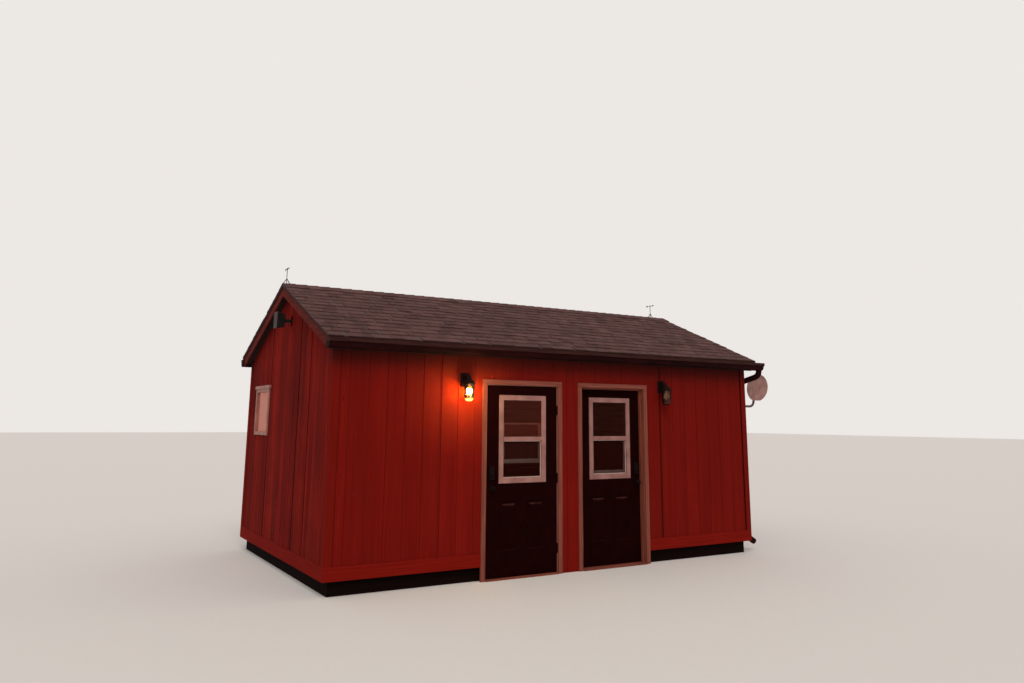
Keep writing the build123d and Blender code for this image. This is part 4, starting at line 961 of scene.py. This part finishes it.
def heads(name, points, facing, foot, top, height, material, body, slot, spread=0.0):
    """A round head, in millimetres, on each point."""
    seed_mesh = bpy.data.meshes.new(name + "_points")
    seed_mesh.from_pydata(points, [], [])
    sizes = {"Foot": foot / 1000, "Top": top / 1000, "Height": height / 1000}
    mesh = grow(name, head_tree, {**sizes, "Turn": FACING[facing], "Spread": spread, "Seed": 2, "Finish": material},
                seed_mesh)
    return make_piece(name, mesh, material, body)


# %% [markdown]
# The siding is nailed to studs 16 inches apart and the nails were stained with it, so they
# are dark red dots in straight rows. The casings went up later with thin bare nails, which
# have rusted. Both lie nearly flush, as a hammer leaves them.

# %% Nails in the siding and casings
NAIL_ROWS = [0.34 + 0.3 * k for k in range(7)] + [2.37 + 0.3 * k for k in range(4)]
STUD_STEP = 0.4064
NAIL_CLEAR, NAIL_BELOW = 0.03, 0.06
SIDING_NAIL = (4.0, 2.6, 1.0)
CASING_NAIL = (2.6, 1.6, 0.5)
# stain over steel: dark, dull and uneven
nail_red = finish("stained_nail_heads", ("#2c0805", "#3a0d09", "#4a140e"), 0.7, lumps=(6, 6, 6), skin=(1, 1, 1),
                  depth=0.1)
for row in walls:
    count = int((row.ends[1] - row.ends[0]) / STUD_STEP)
    studs = [(k - count / 2) * STUD_STEP + 0.03 for k in range(count + 1)]
    spots = [(u, z) for u in studs for z in NAIL_ROWS if z < row.top(u) - NAIL_BELOW and not any(
        h[0] - NAIL_CLEAR < u < h[1] + NAIL_CLEAR and h[2] - NAIL_CLEAR < z < h[3] + NAIL_BELOW for h in row.holes)]
    heads(f"{row.name}_siding_nails", [row.place(u, STRIP_PROUD - 0.0003, z) for u, z in spots], row.facing,
          *SIDING_NAIL, nail_red, "building", "red_siding", spread=0.15)

# rust: brown, rough and patchy
casing_nail = finish("rusted_finish_nails", ("#3a1f16", "#4b2a1e", "#5c3628"), 0.7, lumps=(4, 4, 4), skin=(1, 1, 1),
                     depth=0.1)
# two rows of seven up each side of a casing, and five along its head
NAIL_INSETS = (0.014, 0.04)
FIRST_NAIL, NAIL_STEP = 0.12, 0.315
HEAD_FIRST, HEAD_STEP, HEAD_BELOW = 0.1, 0.195, 0.025
casing_nails = []
for low, high in casings:
    for x in [low.x + inset for inset in NAIL_INSETS] + [high.x - inset for inset in NAIL_INSETS]:
        casing_nails += [(x, low.y + 0.0002, FIRST_NAIL + NAIL_STEP * k) for k in range(7)]
    casing_nails += [(low.x + HEAD_FIRST + HEAD_STEP * k, low.y + 0.0002, high.z - HEAD_BELOW) for k in range(5)]
heads("casing_nails", casing_nails, "-y", *CASING_NAIL, casing_nail, "building", "pine")

# %% [markdown]
# Three screws hold each leaf of a hinge, set zigzag so that they don't split the wood. The
# leaves lie in the gap between door and jamb, so the screws of one face those of the
# other. The lock has a keypad with twelve blank rubber buttons in three columns.

# %% Hinge screws and keypad buttons
SCREW_ROWS = (0.253, 1.013, 1.768)
SCREW_STEP = 0.034
LEAF_THICK = 0.002
DOOR_GAP = 0.005
HINGE_SCREW = (3.6, 2.2, 0.3)
BUTTON = (5.4, 4.4, 1.6)
KEY_ACROSS, KEY_DOWN, FIRST_KEY = 0.0145, 0.0175, 0.032
# moulded rubber: dull and soft, a shade paler than the metal round it
button_rubber = finish("black_rubber_keys", ("#180c0e", "#211315", "#2b1a1b"), 0.7, lumps=(8, 8, 8), skin=(1, 1, 1),
                       depth=0.05, shine=0.05)
for which, side, zigzag in (("left", 1, (0.009, 0.024)), ("right", -1, (0.02, 0.035))):
    low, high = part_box(f"{which}_door_slab")
    edge = high.x if side > 0 else low.x
    spots = [(low.y + zigzag[k % 2], low.z + row + SCREW_STEP * (k - 1)) for row in SCREW_ROWS for k in range(3)]
    outward, inward = ("+x", "-x") if side > 0 else ("-x", "+x")
    heads(f"{which}_door_leaf_screws", [(edge + side * LEAF_THICK, y, z) for y, z in spots], outward, *HINGE_SCREW,
          hardware, f"{which}_door", "black_metal")
    heads(f"{which}_jamb_leaf_screws", [(edge + side * (DOOR_GAP - LEAF_THICK), y, z) for y, z in spots], inward,
          *HINGE_SCREW, hardware, "building", "black_metal")
    low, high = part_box(f"{which}_door_lock")
    keys = [((low.x + high.x) / 2 + KEY_ACROSS * a, low.y + 0.0002, high.z - FIRST_KEY - KEY_DOWN * b)
            for a in (-1, 0, 1) for b in range(4)]
    heads(f"{which}_keypad_buttons", keys, "-y", *BUTTON, button_rubber, f"{which}_door", "black_metal")

# %% [markdown]
# The loudspeaker's grille is steel sheet with punched holes, every other row moved by half
# a step. Cutting them would take many faces for what is a dark dot from any distance, so
# each hole is a dark disc. Four screws hold each lantern's back plate to the wall.

# %% Grille holes and lantern screws
HOLE_STEP = 0.0082
HOLE = (2.7, 2.6, 0.25)
LANTERN_SCREW = (4.5, 2.8, 1.8)
SCREW_ASIDE, SCREWS_BELOW, PLATE_FRONT = 0.041, (0.016, 0.134), 0.02
# shade seen through a hole: black, with nothing to shine
hole_dark = finish("dark_grille_holes", ("#050404", "#080606", "#0c0909"), 0.9, lumps=(5, 5, 5), skin=(1, 1, 1),
                   depth=0.02)
low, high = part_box("speaker_grille")
across, down = (int((size - 0.02) / HOLE_STEP) for size in (high.y - low.y, high.z - low.z))
holes = [(low.x, (low.y + high.y) / 2 + (a - across / 2 + 0.5 * (b % 2)) * HOLE_STEP,
          (low.z + high.z) / 2 + (b - down / 2) * HOLE_STEP) for a in range(across) for b in range(down + 1)]
heads("grille_holes", holes, "-x", *HOLE, hole_dark, "building", "speaker_mesh")

lantern_screws = []
for low, high in (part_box("left_lantern"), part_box("right_lantern")):
    middle = (low.x + high.x) / 2
    lantern_screws += [(middle + a, high.y - PLATE_FRONT, high.z - b)
                       for a in (-SCREW_ASIDE, SCREW_ASIDE) for b in SCREWS_BELOW]
heads("lantern_screws", lantern_screws, "-y", *LANTERN_SCREW, cast_black, "building", "black_metal")

# %% [markdown]
# Inside each gutter, nine straps tie the lip to the fascia. They follow one line,
# so a tree sets a strap on every point of a line. Over the gutters and along the rakes a
# thin folded edge of the same enamel holds the first shingle.

# %% Gutter straps and drip edges
STRAPS = 9
STRAP_WIDE, STRAP_THICK = 0.025, 0.0016
FIRST_STRAP, END_SPARE, LIP_SPARE, STRAP_BELOW = 0.2, 0.5, 0.012, 0.02
EDGE_DROP = 0.024
EDGE_THICK = 0.0015
strap_tree, put, out = new_tree("strap_row", Pieces="Int", Step="Float", Wide="Float", Reach="Float", Thick="Float",
                                Finish="Material")
tree = strap_tree
line = add(tree, "GeometryNodeMeshLine", {"Count": put["Pieces"], "Offset": add(tree, JOIN, put["Step"])})
strap = add(tree, "GeometryNodeMeshCube", {"Size": add(tree, JOIN, put["Wide"], put["Reach"], put["Thick"])})
finish_tree(tree, add(tree, "GeometryNodeInstanceOnPoints", {"Points": line, "Instance": strap}), put, out)
for which in ("front", "rear"):
    low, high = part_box(f"{which}_gutter")
    step = (high.x - low.x - END_SPARE) / (STRAPS - 1)
    mesh = grow(which, strap_tree, {"Pieces": STRAPS, "Step": step, "Wide": STRAP_WIDE, "Thick": STRAP_THICK,
                                    "Reach": high.y - low.y - LIP_SPARE, "Finish": gutter_brown})
    mesh.transform(Matrix.Translation((low.x + FIRST_STRAP, (low.y + high.y) / 2, high.z - STRAP_BELOW)))
    print("a strap every", round(step, 3), "m")
    make_piece(f"{which}_gutter_straps", mesh, gutter_brown, "building")

mesh = bmesh.new()
for side in (-1, 1):
    y0, y1 = sorted((side * (slope_run + 0.0005), side * (slope_run + 0.0005 + EDGE_THICK)))
    bar(mesh, (-roof_half, y0, shingle_low.z - 0.004), (roof_half, y1, shingle_low.z + 0.016))
for end in (-1, 1):
    for side in (-1, 1):
        x0, x1 = sorted((end * roof_half, end * (roof_half + EDGE_THICK)))
        foot, crest = (side * slope_run, shingle_low.z + 0.012), (0.0, shingle_low.z + 0.012 + slope_run * ROOF_RISE)
        solid(mesh, [(x, y, z + up) for up in (-EDGE_DROP, 0.0)
                     for x, (y, z) in ((x0, foot), (x1, foot), (x1, crest), (x0, crest))], BOX_FACES)
bmesh.ops.recalc_face_normals(mesh, faces=mesh.faces)
make_piece("drip_edges", mesh, gutter_brown, "building")

# %% [markdown]
# The hut stands on a plain pale floor under a soft even sky, with one large lamp high at
# the front. The sky is kept a plain level, and only the camera, mirrors and glass see it
# as pale, so the background is bright without brighter light on the hut.

# %% Floor, sky and lamp
SKY_LEVEL = 0.62
SEEN_LEVEL = 0.86
floor_mesh = bmesh.new()
bar(floor_mesh, (-90, -90, -0.2), (90, 90, -0.0005))
floor_data = bpy.data.meshes.new("studio_floor")
floor_mesh.to_mesh(floor_data)
floor_mesh.free()
studio_floor = set_out("studio_floor", floor_data)
# a roll of matt paper: it shows the hut's shadow and nothing of its own
floor_paper = bpy.data.materials.new("studio_paper")
floor_paper.use_nodes = True
floor_paper.node_tree.nodes["Principled BSDF"].inputs["Base Color"].default_value = paint("#d9d4d0")
floor_paper.node_tree.nodes["Principled BSDF"].inputs["Roughness"].default_value = 0.9
floor_data.materials.append(floor_paper)
studio_floor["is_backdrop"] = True

world = bpy.data.worlds.new("studio_sky")
bpy.context.scene.world = world
world.use_nodes = True
tree = world.node_tree
rays = add(tree, "ShaderNodeLightPath", out=None)
seen = add(tree, "MAXIMUM", rays["Is Camera Ray"], rays["Is Glossy Ray"])
seen = add(tree, "MAXIMUM", seen, rays["Is Transmission Ray"])
tree.nodes["Background"].inputs["Color"].default_value = paint("#fdf8f4")
tree.links.new(add(tree, "MULTIPLY_ADD", seen, SEEN_LEVEL - SKY_LEVEL, SKY_LEVEL),
               tree.nodes["Background"].inputs["Strength"])

lamp_data = bpy.data.lights.new("soft_front_lamp", "SUN")
lamp_data.energy = 1.4
lamp_data.angle = math.radians(35)
lamp_data.color = (1.0, 0.96, 0.92)
lamp = set_out("soft_front_lamp", lamp_data)
lamp.matrix_world = Vector((-0.45, -1.0, 1.1)).to_track_quat("Z", "Y").to_matrix().to_4x4()

bpy.context.scene.view_settings.view_transform = "Standard"
print("sky", SKY_LEVEL, "seen as", SEEN_LEVEL, "lamp", lamp_data.energy)

# %% [markdown]
# Last, the dressed hut is measured against the solids. Its box may grow only by the little
# that siding, shingles and drip edges stand proud, because others rely on its size.

# %% Size of the dressed hut
dressed_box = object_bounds()
growth = [abs(a - b) for one, two in zip(cad_box, dressed_box) for a, b in zip(one, two)]
print("grown by (mm):", [round(1000 * g, 1) for g in growth])
